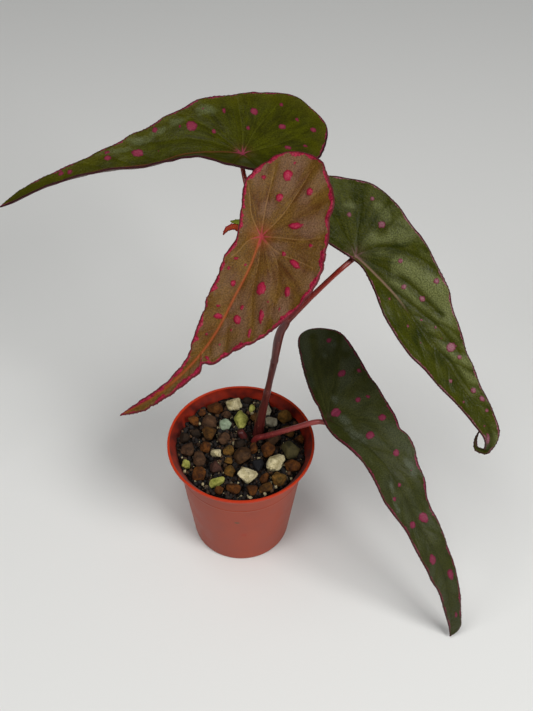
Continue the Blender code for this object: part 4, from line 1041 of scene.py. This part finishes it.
cane_skin = stem_skin("maroon cane, waxy", "#441614", "#5e2620", "#841e0c", (108, 122), 0.34)
cane = stem("cane_skin", CANE_PATH, CANE_RADII, 1)
stalks = [
    stem("stalk", STALK_TO_RIGHT + stem_end(LEAF_RIGHT), (1.3, 0.95, 0.85, 0.95), 2, 0.3),
    stem("stalk", STALK_TO_FRONT + stem_end(LEAF_FRONT), (1.1, 0.95, 0.9), 3, 0.3),
    stem("stalk", STALK_TO_BACK + stem_end(LEAF_BACK), (1.0, 0.8, 0.75), 4, 0.3),
]
place(combined(cane, stalks, "UNION"), cane_skin, "cane", "cane")
pink_skin = stem_skin("fresh pink stalk, waxy", "#58161a", "#7c2a28", "#a04a46", (52, 66), 0.3)
place(stem("low_stalk_skin", STALK_TO_LOW + stem_end(LEAF_LOW), (1.1, 1.1, 1.0, 0.95), 5, 0.25),
      pink_skin, "low_stalk", "low_stalk")
bud_skin = stem_skin("dark red bud, matt", "#240a0a", "#4a1614", "#4a1614", (47, 51), 0.5)
place(stem("base_bud_skin", BUD_PATH, (1.6, 2.1, 1.2), 6), bud_skin, "base_bud", "base_bud")
print("stems:", len(cane.data.vertices), "points in the cane")

# %% [markdown]
# The pot looks like thin moulded polypropylene in brick orange. Its profile is turned round the
# upright axis: a small rounded lip on a flared collar, a wall that narrows to the
# base with one faint ring round it, and a flat base with drain holes. Thin plastic glows where
# light comes through it, and that glow is painted into the lip, so it looks more orange than the dusty
# outside.

# %% Pot
POT_HEIGHT = 51.3
RIM_RADIUS = 27.5
LIP_HEIGHT = 1.2
LIP_WIDTH = 0.9
LIP_ROUND = 0.3
FLARE_FOOT = 45.5
FLARE_FOOT_RADIUS = 24.0
FLARE_TOP_RADIUS = 26.9
BASE_RADIUS = 18.9
WALL = 0.8
FLOOR = 1.4
FLOOR_ROUND = 0.8
BASE_ROUND = 1.2
LIP_FOOT = POT_HEIGHT - LIP_HEIGHT
POT_SIDES = 192
WALL_STEPS = 36
COLLAR_STEPS = 10
RING_AT = 39.0
RING_HEIGHT = 0.12
RING_WIDTH = 0.35
DRAIN_HOLES = 5
DRAIN_RADIUS = 2.2
DRAIN_RING = 12.0
SAG = 0.06


def arc_points(middle, radius, start, stop, count=6):
    """Points of an arc in the (radius, height) plane, angles in degrees."""
    angle = np.radians(np.linspace(start, stop, count))
    return np.column_stack([middle[0] + radius * np.cos(angle), middle[1] + radius * np.sin(angle)])


def outer_radius(height):
    """The radius of the outer wall at each height: a cone, then the flared collar, plus the ring."""
    radii = (BASE_RADIUS, FLARE_FOOT_RADIUS, FLARE_TOP_RADIUS)
    plain = np.interp(height, (BASE_ROUND, FLARE_FOOT, LIP_FOOT), radii)
    return plain + RING_HEIGHT * np.exp(-((height - RING_AT) / RING_WIDTH) ** 2)


def inner_radius(height):
    """The radius of the inner wall at each height."""
    radii = (BASE_RADIUS, FLARE_FOOT_RADIUS, FLARE_TOP_RADIUS)
    return np.interp(height, (FLOOR + FLOOR_ROUND, FLARE_FOOT, LIP_FOOT), radii) - WALL


def pot_profile():
    """(radius, height) from the floor's middle up the inside, over the lip and down to the base."""
    inner_top = RIM_RADIUS - LIP_WIDTH
    collar = np.linspace(FLARE_FOOT + 0.4, LIP_FOOT, COLLAR_STEPS)
    rise = np.concatenate([np.linspace(FLOOR + FLOOR_ROUND, FLARE_FOOT, WALL_STEPS), collar])
    ring = RING_AT + RING_WIDTH * np.linspace(-2.5, 2.5, 11)
    fall = np.concatenate([np.linspace(BASE_ROUND, FLARE_FOOT, WALL_STEPS), ring, collar])
    fall = np.unique(fall)[::-1]
    return np.vstack([
        [(0, FLOOR), (BASE_RADIUS - WALL - FLOOR_ROUND, FLOOR)],
        np.column_stack([inner_radius(rise), rise]),
        arc_points((inner_top + LIP_ROUND, POT_HEIGHT - LIP_ROUND), LIP_ROUND, 180, 90),
        arc_points((RIM_RADIUS - LIP_ROUND, POT_HEIGHT - LIP_ROUND), LIP_ROUND, 90, 0),
        arc_points((RIM_RADIUS - LIP_ROUND, LIP_FOOT + LIP_ROUND), LIP_ROUND, 0, -90),
        np.column_stack([outer_radius(fall), fall]),
        arc_points((BASE_RADIUS - BASE_ROUND, BASE_ROUND), BASE_ROUND, 0, -90), [(0, 0)]])


def turned(profile, sides):
    """A grid of points from a profile turned round Z: (radius cos, radius sin, height)."""
    turn = np.linspace(0, 2 * np.pi, sides, endpoint=False)
    circle = np.stack([np.cos(turn), np.sin(turn)], axis=1)
    heights = np.repeat(profile[:, 1:, None], sides, 1)
    return np.concatenate([profile[:, :1, None] * circle[None], heights], 2)


skin = turned(pot_profile(), POT_SIDES)
flat = skin.reshape(-1, 3)
sag = SAG * lattice_noise(flat * (1, 1, 0.5), 14.0, 21) * soft_step(flat[:, 2], 3, 12)
stretch = 1 + sag / np.maximum(np.hypot(flat[:, 0], flat[:, 1]), 1)
skin[..., :2] *= stretch.reshape(skin.shape[:2])[..., None]
pot = mesh_piece("pot_skin", skin, grid_faces(len(skin), POT_SIDES, False, True), {})
print("pot:", len(pot.data.vertices), "points")

# %% [markdown]
# The drain holes are cut with five round pins. A pin is turned like the pot, only with a straight
# profile, and the same Boolean helper takes it out of the base.

# %% Drain holes
PIN_SIDES = 32
PIN_FOOT, PIN_TOP = -1, 3
PIN_PROFILE = np.array([(0, PIN_FOOT), (DRAIN_RADIUS, PIN_FOOT), (DRAIN_RADIUS, PIN_TOP), (0, PIN_TOP)])
SHARP_ANGLE = math.radians(40)

pins = []
for i in range(DRAIN_HOLES):
    angle = 2 * math.pi * (i + 0.25) / DRAIN_HOLES
    middle = np.array([DRAIN_RING * math.cos(angle), DRAIN_RING * math.sin(angle), 0])
    pins.append(mesh_piece("pin", turned(PIN_PROFILE, PIN_SIDES) + middle,
                           grid_faces(len(PIN_PROFILE), PIN_SIDES, False, True), {}))
combined(pot, pins, "DIFFERENCE")
pot.data.set_sharp_from_angle(angle=SHARP_ANGLE)
print("pot with drain holes:", len(pot.data.polygons), "faces")

# %% [markdown]
# Polypropylene is satin when it leaves the mould, and handling and dried water leave a pale bloom
# on it. The lip is painted brighter and more orange, a painted glow for light that shines through
# the thin plastic, while the body is duller and dustier. The inner wall is painted dark: partly the
# stain of damp soil, partly painted shade inside the pot. One dried smear and one scuff on the front
# are small ovals, measured from their middles in millimetres.

# %% Pot material
SMEAR_AT, SMEAR_SIZE = (-0.9, -22.3, 30.4), (1.0, 4.0, 0.5)
SCUFF_AT, SCUFF_SIZE = (1.6, -21.1, 20.7), (1.2, 4.0, 1.2)
PLASTIC_IOR = 1.49


def pot_plastic():
    """Brick polypropylene, moulded: satin, a chalky bloom outside, a painted glow of brighter orange at the
    lip, and a dark inner wall of stain and painted shade.
    """
    material, tree, shader = new_material("brick polypropylene, moulded")
    coords = node(tree, "ShaderNodeTexCoord", out=3)
    height = node(tree, "ShaderNodeSeparateXYZ", {0: coords}, 2)
    bloom = node(tree, "ShaderNodeTexNoise", {"Vector": coords, "Scale": 160.0, "Detail": 6.0})
    patch = node(tree, "ShaderNodeMapRange", {"Value": bloom, "From Min": 0.3, "From Max": 0.7})
    colour = node(tree, "ShaderNodeMix", {0: patch, 6: linear("#8c3016"), 7: linear("#983c24")}, 2,
                  data_type="RGBA")
    for middle, size, tone in ((SMEAR_AT, SMEAR_SIZE, "#464228"), (SCUFF_AT, SCUFF_SIZE, "#982c10")):
        offset = node(tree, "ShaderNodeVectorMath", {0: coords, 1: Vector(middle) * MM},
                      operation="SUBTRACT")
        offset = node(tree, "ShaderNodeVectorMath", {0: offset, 1: Vector(size) * MM}, operation="DIVIDE")
        reach = node(tree, "ShaderNodeVectorMath", {0: offset}, 1, operation="LENGTH")
        on_mark = node(tree, "ShaderNodeMapRange", {"Value": reach, "From Min": 1.4, "From Max": 0.5})
        colour = node(tree, "ShaderNodeMix", {0: on_mark, 6: colour, 7: linear(tone)}, 2, data_type="RGBA")
    # painted glow: the lip turns a brighter orange, standing for light that shines through the thin plastic
    lip_painted_glow = node(tree, "ShaderNodeMapRange", {"Value": height, "From Min": (LIP_FOOT - 0.2) * MM,
                                                 "From Max": (LIP_FOOT + 0.1) * MM},
                    interpolation_type="SMOOTHSTEP")
    colour = node(tree, "ShaderNodeMix", {0: lip_painted_glow, 6: colour, 7: linear("#b02c04")}, 2, data_type="RGBA")
    flat = node(tree, "ShaderNodeVectorMath", {0: coords, 1: (1, 1, 0)}, operation="MULTIPLY")
    radius = node(tree, "ShaderNodeVectorMath", {0: flat}, 1, operation="LENGTH")
    cone = (FLARE_FOOT_RADIUS - BASE_RADIUS) / (FLARE_FOOT - BASE_ROUND)
    at_ground = BASE_RADIUS - BASE_ROUND * cone - WALL / 2
    wall = node(tree, "ShaderNodeMath", {0: height, 1: cone, 2: at_ground * MM}, operation="MULTIPLY_ADD")
    flare = FLARE_TOP_RADIUS - FLARE_FOOT_RADIUS - 0.5
    collar = node(tree, "ShaderNodeMapRange", {"Value": height, "From Min": FLARE_FOOT * MM,
                                               "From Max": LIP_FOOT * MM, "To Max": flare * MM})
    wall = node(tree, "ShaderNodeMath", {0: wall, 1: collar}, operation="ADD")
    inward = node(tree, "ShaderNodeMath", {0: wall, 1: radius}, operation="SUBTRACT")
    # painted shade and stain: the inner wall turns dark red-brown, partly soil stain, partly shade inside
    # the pot
    inner = node(tree, "ShaderNodeMapRange", {"Value": inward, "From Min": 0.0, "From Max": 0.1 * MM})
    stain_and_painted_shade = node(tree, "ShaderNodeMapRange", {"Value": bloom, "From Min": 0.35, "From Max": 0.65})
    inside = node(tree, "ShaderNodeMix", {0: stain_and_painted_shade, 6: linear("#400500"), 7: linear("#8a1c00")}, 2,
                  data_type="RGBA")
    colour = node(tree, "ShaderNodeMix", {0: inner, 6: colour, 7: inside}, 2, data_type="RGBA")
    tree.links.new(colour, shader.inputs["Base Color"])
    rough = node(tree, "ShaderNodeMapRange", {"Value": bloom, "From Min": 0.3, "From Max": 0.7,
                                              "To Min": 0.4, "To Max": 0.55})
    tree.links.new(rough, shader.inputs["Roughness"])
    fine = node(tree, "ShaderNodeTexNoise", {"Vector": coords, "Scale": 1500.0, "Detail": 2.0})
    bump = node(tree, "ShaderNodeBump", {"Height": fine, "Strength": 0.15, "Distance": 0.1 * MM})
    tree.links.new(bump, shader.inputs["Normal"])
    shader.inputs["IOR"].default_value = PLASTIC_IOR
    shader.inputs["Specular IOR Level"].default_value = 0.15
    shader.inputs["Sheen Weight"].default_value = 0.1
    shader.inputs["Sheen Roughness"].default_value = 0.6
    shader.inputs["Sheen Tint"].default_value = linear("#f4d8cc")
    return material


place(pot, pot_plastic(), "pot", "pot")

# %% [markdown]
# The top of the soil is black, crumbly peat. It is a round grid whose height is a broad roll plus
# four octaves of crumbs, and it climbs a little where it meets the wall. The side and the bottom
# follow the inside of the pot, so the filling is a closed body that also shows through the drain
# holes.

# %% Soil
SOIL_TOP = 47.6
SOIL_EDGE_DROP = 0.4
SOIL_RINGS = 150
SOIL_SPOKES = 300
ROLL = 0.6
CRUMB = 0.75
SINK = 0.5
CLIMB = 1.3
GAP = 0.3
FLOOR_GAP = 0.4
SOIL_BEVEL = 1.6


def soil_height(flat):
    """The soil's height at flat places: a broad roll plus crumbs, rough noise without its sign."""
    crumbs = CRUMB * np.abs(rough_noise(flat, 2.2, 4, 31))
    return SOIL_TOP - SINK + ROLL * lattice_noise(flat, 7.0, 30) + crumbs


spoke = np.linspace(0, 2 * np.pi, SOIL_SPOKES, endpoint=False)
share = np.linspace(0, 1, SOIL_RINGS)[:, None] ** 0.8
around = np.column_stack([9 * np.cos(spoke), 9 * np.sin(spoke), np.zeros(SOIL_SPOKES)])
climb = CLIMB * np.clip(rough_noise(around, 2.4, 3, 33), -0.3, 0.8)
edge = inner_radius(SOIL_TOP - SOIL_EDGE_DROP + climb) - GAP
x, y = edge * share * np.cos(spoke), edge * share * np.sin(spoke)
flat = np.column_stack([x.ravel(), y.ravel(), np.zeros(x.size)])
near_wall = share ** 12
rolling = (soil_height(flat) - SOIL_TOP).reshape(x.shape)
height = SOIL_TOP + rolling * (1 - near_wall) + (climb - SOIL_EDGE_DROP) * near_wall
top = np.stack([x, y, height], axis=2)
bevel_top, bottom = FLOOR + SOIL_BEVEL, FLOOR + FLOOR_GAP
side_heights = np.array([FLARE_FOOT, 30.0, 15.0, bevel_top, bottom, bottom])
side_radii = np.append(inner_radius(side_heights[:4]) - GAP, [inner_radius(bevel_top) - SOIL_BEVEL, 0.0])
side = turned(np.column_stack([side_radii, side_heights]), SOIL_SPOKES)
soil_grid = np.concatenate([top, side])
soil = mesh_piece("soil_bed", soil_grid, grid_faces(len(soil_grid), SOIL_SPOKES, False, True), {})
print("soil:", len(soil.data.vertices), "points")

# %% [markdown]
# Peat is the remains of moss, nearly black when damp, with brown fibres in it. It hardly shines at
# all. A cell texture picks out single flecks, and fine noise gives the bump of the crumbs.

# %% Peat material
def peat():
    """Black peat with fibre, crumbled: nearly no shine, brown flecks."""
    material, tree, shader = new_material("black peat, crumbled")
    coords = node(tree, "ShaderNodeTexCoord", out=3)
    fleck = node(tree, "ShaderNodeTexVoronoi", {"Vector": coords, "Scale": 900.0}, 1)
    single = node(tree, "ShaderNodeSeparateColor", {0: fleck})
    share = node(tree, "ShaderNodeMapRange", {"Value": single, "From Min": 0.7, "From Max": 1.0})
    crumb = node(tree, "ShaderNodeTexNoise", {"Vector": coords, "Scale": 450.0, "Detail": 6.0})
    base = node(tree, "ShaderNodeMix", {0: crumb, 6: linear("#050302"), 7: linear("#100a06")}, 2,
                data_type="RGBA")
    colour = node(tree, "ShaderNodeMix", {0: share, 6: base, 7: linear("#2c1c10")}, 2, data_type="RGBA")
    tree.links.new(colour, shader.inputs["Base Color"])
    bump = node(tree, "ShaderNodeBump", {"Height": crumb, "Strength": 0.9, "Distance": 0.6 * MM})
    tree.links.new(bump, shader.inputs["Normal"])
    shader.inputs["Roughness"].default_value = 0.95
    shader.inputs["Specular IOR Level"].default_value = 0.15
    return material


place(soil, peat(), "soil", "soil")

# %% [markdown]
# The gravel on top is a bonsai-style mix: fired clay granules, pumice, zeolite and a few river
# stones. Each stone starts from its solid. The solid's corners give its middle and its three main
# directions, and a ball stretched along them is pushed in and out by noise and by a few flat cuts,
# which give it worn corners.

# %% Stone shapes
STONE_ROWS = 28
STONE_COLUMNS = 44
STONE_FLATS = 11
FLAT_DEPTHS = (0.62, 0.9)
CORNER_SHARPNESS = 26
STONE_SWELL = 1.04


def main_axes(name):
    """Middle, directions and half sizes of a solid stone, from its corners."""
    solid = frame["nodes"][name]
    corners = np.empty(len(solid.data.vertices) * 3)
    solid.data.vertices.foreach_get("co", corners)
    corners = np.unique(np.round(corners.reshape(-1, 3) / MM, 3), axis=0)
    middle = (corners.min(axis=0) + corners.max(axis=0)) / 2
    _, directions = np.linalg.eigh(np.cov((corners - middle).T))
    spans = (corners - middle) @ directions
    return middle, directions, (spans.max(axis=0) - spans.min(axis=0)) / 2


def ball_grid(rows, columns):
    """Unit directions on a ball, from pole to pole."""
    polar = np.linspace(0, np.pi, rows)[:, None]
    turn = np.linspace(0, 2 * np.pi, columns, endpoint=False)[None]
    return np.stack([np.sin(polar) * np.cos(turn), np.sin(polar) * np.sin(turn),
                     np.cos(polar) * np.ones_like(turn)], axis=2)


def stone_shape(seed, lumps, pores):
    """Radius 1 + noise, cut back by random planes, pitted, and stretched to fill its box."""
    draw = np.random.default_rng(seed)
    directions = ball_grid(STONE_ROWS, STONE_COLUMNS).reshape(-1, 3)
    radius = 1 + lumps * rough_noise(directions + seed, 0.8, 4, seed)
    cuts = draw.normal(size=(STONE_FLATS, 3))
    cuts /= np.linalg.norm(cuts, axis=1, keepdims=True)
    depth = draw.uniform(*FLAT_DEPTHS, STONE_FLATS)
    facing = directions @ cuts.T
    limit = np.where(facing > 0.2, depth / np.maximum(facing, 0.2), 9.0).min(axis=1)
    both = np.exp(-CORNER_SHARPNESS * radius) + np.exp(-CORNER_SHARPNESS * limit)
    radius = -np.log(both) / CORNER_SHARPNESS
    pits = np.clip(lattice_noise(directions * 3 + seed, 0.35, seed + 7) - 0.2, 0, 1)
    shape = directions * (radius - pores * pits)[:, None]
    low, high = shape.min(axis=0), shape.max(axis=0)
    return (shape - (low + high) / 2) / ((high - low) / 2)


def stone_piece(name, seed, lumps, pores):
    """The stone of a solid: its middle + directions * (half sizes * shape)."""
    middle, directions, half = main_axes(name)
    shape = stone_shape(seed, lumps, pores) * half * STONE_SWELL
    points = middle + shape @ directions.T
    faces = grid_faces(STONE_ROWS, STONE_COLUMNS, False, True)
    return mesh_piece(name + "_worn", points, faces, {}, 1e-3)

# %% [markdown]
# Four kinds of grit lie here. Pumice is pale and full of pores. Zeolite is greenish, chalky and
# cornered. Fired clay is brown to rust and finely rough. River stone is dark and smoother than the
# rest. All are mixed from one recipe: a tone mottled with a darker copy of it, which is partly
# painted shade, and darker pores.

# %% Stone materials
def grit(name, tone, painted_shade_tone, pore_share, roughness, relief):
    """Dry stone, broken and sieved: its tone in blotches with a darker copy that is partly painted shade,
    dark pores, no coating.
    """
    material, tree, shader = new_material(name)
    coords = node(tree, "ShaderNodeTexCoord", out=3)
    blotch = node(tree, "ShaderNodeTexNoise", {"Vector": coords, "Scale": 420.0, "Detail": 6.0,
                                               "Roughness": 0.65})
    share = node(tree, "ShaderNodeMapRange", {"Value": blotch, "From Min": 0.36, "From Max": 0.64})
    # painted shade, in part: blotches of a darker copy of the tone stand for shade on the stone
    colour = node(tree, "ShaderNodeMix", {0: share, 6: linear(tone), 7: linear(painted_shade_tone)}, 2,
                  data_type="RGBA")
    pores = node(tree, "ShaderNodeTexVoronoi", {"Vector": coords, "Scale": 1500.0})
    pore = node(tree, "ShaderNodeMapRange", {"Value": pores, "From Min": 0.28, "From Max": 0.12,
                                             "To Max": pore_share})
    colour = node(tree, "ShaderNodeMix", {0: pore, 6: colour, 7: linear("#2a2018")}, 2,
                  data_type="RGBA")
    tree.links.new(colour, shader.inputs["Base Color"])
    height = node(tree, "ShaderNodeMath", {0: pore, 1: -0.6, 2: blotch}, operation="MULTIPLY_ADD")
    bump = node(tree, "ShaderNodeBump", {"Height": height, "Strength": relief, "Distance": 0.4 * MM})
    tree.links.new(bump, shader.inputs["Normal"])
    shader.inputs["Roughness"].default_value = roughness
    shader.inputs["Specular IOR Level"].default_value = 0.2
    return material


# each row: name, tone, darker tone (partly painted shade), pore share, roughness, relief, lumps, pits, slot
# and stone numbers
STONE_KINDS = (
    ("cream pumice", "#d0c49c", "#94885e", 0.6, 0.9, 0.9, 0.24, 0.10, "stones_pale", (1, 9, 13, 14)),
    ("pale pumice", "#a09a84", "#726a56", 0.6, 0.9, 0.9, 0.24, 0.10, "stones_pale", (16, 24)),
    ("yellow green zeolite", "#aaa858", "#6c6e2a", 0.3, 0.85, 0.7, 0.2, 0.05, "stones_green",
     (2, 4, 18, 20)),
    ("mint zeolite", "#98a68c", "#6c7a62", 0.25, 0.85, 0.6, 0.2, 0.04, "stones_green", (3,)),
    ("brown fired clay", "#5c3c14", "#2c1a08", 0.5, 0.9, 0.9, 0.26, 0.10, "stones_brown",
     (17, 21, 32, 33)),
    ("taupe fired clay", "#543a26", "#2e1e12", 0.5, 0.9, 0.9, 0.26, 0.10, "stones_brown",
     (5, 8, 22, 27, 29, 39)),
    ("tan fired clay", "#74501e", "#403010", 0.5, 0.9, 0.9, 0.26, 0.10, "stones_brown",
     (28, 30, 34, 40, 47)),
    ("rust fired clay", "#62380f", "#341a08", 0.5, 0.9, 0.9, 0.26, 0.10, "stones_brown",
     (7, 12, 23, 25, 26, 31, 35, 37, 41, 42, 43, 44, 45)),
    ("mauve fired clay", "#4c3026", "#2a1a14", 0.5, 0.9, 0.9, 0.26, 0.10, "stones_brown", (19,)),
    ("umber river stone", "#4c3218", "#2a1a0e", 0.3, 0.75, 0.6, 0.16, 0.04, "stones_dark", (10,)),
    ("slate river stone", "#1c1d20", "#0e0e10", 0.1, 0.7, 0.5, 0.16, 0.03, "stones_dark", (11,)),
    ("dark river stone", "#281a0c", "#120b05", 0.3, 0.8, 0.7, 0.22, 0.06, "stones_dark",
     (6, 36, 38, 46)),
    ("olive river stone", "#4c4426", "#2a2814", 0.3, 0.8, 0.7, 0.16, 0.04, "stones_dark", (15,)),
)
for kind, tone, painted_shade_tone, pore_share, roughness, relief, lumps, pits, slot, numbers in STONE_KINDS:
    kind_material = grit(kind, tone, painted_shade_tone, pore_share, roughness, relief)
    for number in numbers:
        name = f"stone_{number:02d}"
        place(stone_piece(name, number, lumps, pits), kind_material, slot, name)
    print(kind, len(numbers))

# %% [markdown]
# Between the stones lies finer grit. Places are drawn at random over the soil, and those under a
# stone or a stem are thrown away. Each grain is a coarse ball of a few dozen faces, squeezed by its
# own three random sizes, and all of them together are one piece. A random tone goes with every
# grain, so that one material can colour them all.

# %% Fine gravel
GRAIN_TRIES = 3200
GRAIN_SMALLEST, GRAIN_LARGEST = 0.25, 1.0
GRAIN_ROWS, GRAIN_COLUMNS = 6, 7
STEM_PLACES = (CANE_PATH[0], STALK_TO_LOW[0], BUD_PATH[0])
STEM_CLEARANCE = 2.4

draw = np.random.default_rng(3)
spread = (inner_radius(SOIL_TOP) - 0.8) * np.sqrt(draw.random(GRAIN_TRIES))
angle = draw.uniform(0, 2 * np.pi, GRAIN_TRIES)
spot = np.column_stack([spread * np.cos(angle), spread * np.sin(angle), np.zeros(GRAIN_TRIES)])
size = GRAIN_SMALLEST + (GRAIN_LARGEST - GRAIN_SMALLEST) * draw.random(GRAIN_TRIES) ** 3
open_place = np.ones(GRAIN_TRIES, bool)
for name in frame["nodes"]:
    if name.startswith("stone_"):
        middle, _, half = main_axes(name)
        flat_half = np.sort(half)[-2:].mean()
        open_place &= np.hypot(*(spot[:, :2] - middle[:2]).T) > 0.8 * flat_half
for stem_x, stem_y, _ in STEM_PLACES:
    open_place &= np.hypot(spot[:, 0] - stem_x, spot[:, 1] - stem_y) > STEM_CLEARANCE
spot, size = spot[open_place], size[open_place]
spot[:, 2] = soil_height(spot) + 0.35 * size
ball = ball_grid(GRAIN_ROWS, GRAIN_COLUMNS).reshape(-1, 3)
stretch = draw.uniform(0.7, 1.15, (len(spot), 1, 3)) * size[:, None, None]
lump = 1 + 0.25 * draw.normal(size=(len(spot), len(ball), 1)).clip(-1, 1) * (np.abs(ball[:, 2:]) < 0.99)
grains = spot[:, None] + ball[None] * stretch * lump
one = grid_faces(GRAIN_ROWS, GRAIN_COLUMNS, False, True)
grain_faces = (one[None] + np.arange(len(spot))[:, None, None] * len(ball)).reshape(-1, 4)
tone = np.repeat(draw.random(len(spot)), len(ball))


def mixed_grit():
    """Fine sieved grit of all kinds: the tone attribute picks the colour of each grain."""
    material, tree, shader = new_material("fine mixed grit")
    tone_here = node(tree, "ShaderNodeAttribute", attribute_name="tone", out=2)
    ramp = tree.nodes.new("ShaderNodeValToRGB")
    ramp.color_ramp.interpolation = "CONSTANT"
    shades = ("#0c0806", "#1a100a", "#0e0906", "#2c1c10", "#120b07", "#3e2815", "#1a110a", "#0a0605",
              "#4c3218", "#140c08", "#241810", "#0c0705", "#5a4a34", "#1c120b", "#a89a74")
    ramp.color_ramp.elements[0].color = linear(shades[0])
    ramp.color_ramp.elements[1].position = 1 / len(shades)
    ramp.color_ramp.elements[1].color = linear(shades[1])
    for i in range(2, len(shades)):
        ramp.color_ramp.elements.new(i / len(shades)).color = linear(shades[i])
    tree.links.new(tone_here, ramp.inputs[0])
    coords = node(tree, "ShaderNodeTexCoord", out=3)
    blotch = node(tree, "ShaderNodeTexNoise", {"Vector": coords, "Scale": 900.0, "Detail": 3.0})
    shade = node(tree, "ShaderNodeMapRange", {"Value": blotch, "From Min": 0.3, "From Max": 0.7,
                                              "To Min": 0.55, "To Max": 1.2})
    colour = node(tree, "ShaderNodeMix", {0: 1.0, 6: ramp.outputs[0], 7: shade}, 2,
                  data_type="RGBA", blend_type="MULTIPLY")
    tree.links.new(colour, shader.inputs["Base Color"])
    shader.inputs["Roughness"].default_value = 0.9
    return material


fine_gravel = mesh_piece("fine_gravel", grains, grain_faces, {"tone": tone})
place(fine_gravel, mixed_grit(), "soil")
print("grains:", len(spot))

# %% [markdown]
# A pale sheet of board lies under the pot, and it is part of the stage and not of the plant. Three
# softboxes light it: one overhead, and one on each side in front, of which the right one is the
# stronger. Their powers were chosen by lighting the scene with one lamp at a time and finding the
# mix that gives the soft shadows and the gentle fall of light towards the back.

# %% Floor and light
FLOOR_REACH = 1500.0
SOFTBOXES = {
    # name: (place, size, watts)
    "overhead softbox": ((-120.0, -170.0, 980.0), 430.0, 3.3),
    "front left softbox": ((-600.0, -500.0, 700.0), 450.0, 2.7),
    "front right softbox": ((600.0, -500.0, 700.0), 450.0, 7.2),
}
FILL_STRENGTH = 0.1
LAMPS_AIM = (0, 0, 50)

floor_mesh = bpy.data.meshes.new("floor")
reach = FLOOR_REACH * MM
corners = [(-reach, -reach, 0), (reach, -reach, 0), (reach, reach, 0), (-reach, reach, 0)]
floor_mesh.from_pydata(corners, [], [(0, 1, 2, 3)])
floor = bpy.data.objects.new("floor", floor_mesh)
bpy.context.scene.collection.objects.link(floor)
board, _, board_shader = new_material("pale board")
board_shader.inputs["Base Color"].default_value = linear("#dfdfdc")
board_shader.inputs["Roughness"].default_value = 0.8
floor_mesh.materials.append(board)
floor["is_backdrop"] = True

for name, (lamp_place, size, watts) in SOFTBOXES.items():
    lamp = bpy.data.lights.new(name, "AREA")
    lamp.shape, lamp.size, lamp.energy = "SQUARE", size * MM, watts
    softbox = bpy.data.objects.new(name, lamp)
    bpy.context.scene.collection.objects.link(softbox)
    softbox.location = Vector(lamp_place) * MM
    aim = Vector(LAMPS_AIM) * MM - softbox.location
    softbox.rotation_euler = aim.to_track_quat("-Z", "Y").to_euler()
world = bpy.data.worlds.new("studio")
world.use_nodes = True
world.node_tree.nodes["Background"].inputs["Color"].default_value = linear("#f4f6fa")
world.node_tree.nodes["Background"].inputs["Strength"].default_value = FILL_STRENGTH
bpy.context.scene.world = world
print("lamps:", len(SOFTBOXES))

# %% [markdown]
# Before the scene is handed on, its size is compared with the solid model's. The finer surfaces
# should stay within a millimetre of it, because they only add relief.

# %% Size and end
new_low, new_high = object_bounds()
print("pieces:", len(made_pieces), "faces:", sum(len(piece.data.polygons) for piece in made_pieces))
grown = [np.round((np.array(b) - a) / MM, 2) for a, b in ((new_low, cad_low), (cad_high, new_high))]
print("grew by", *grown, "mm")
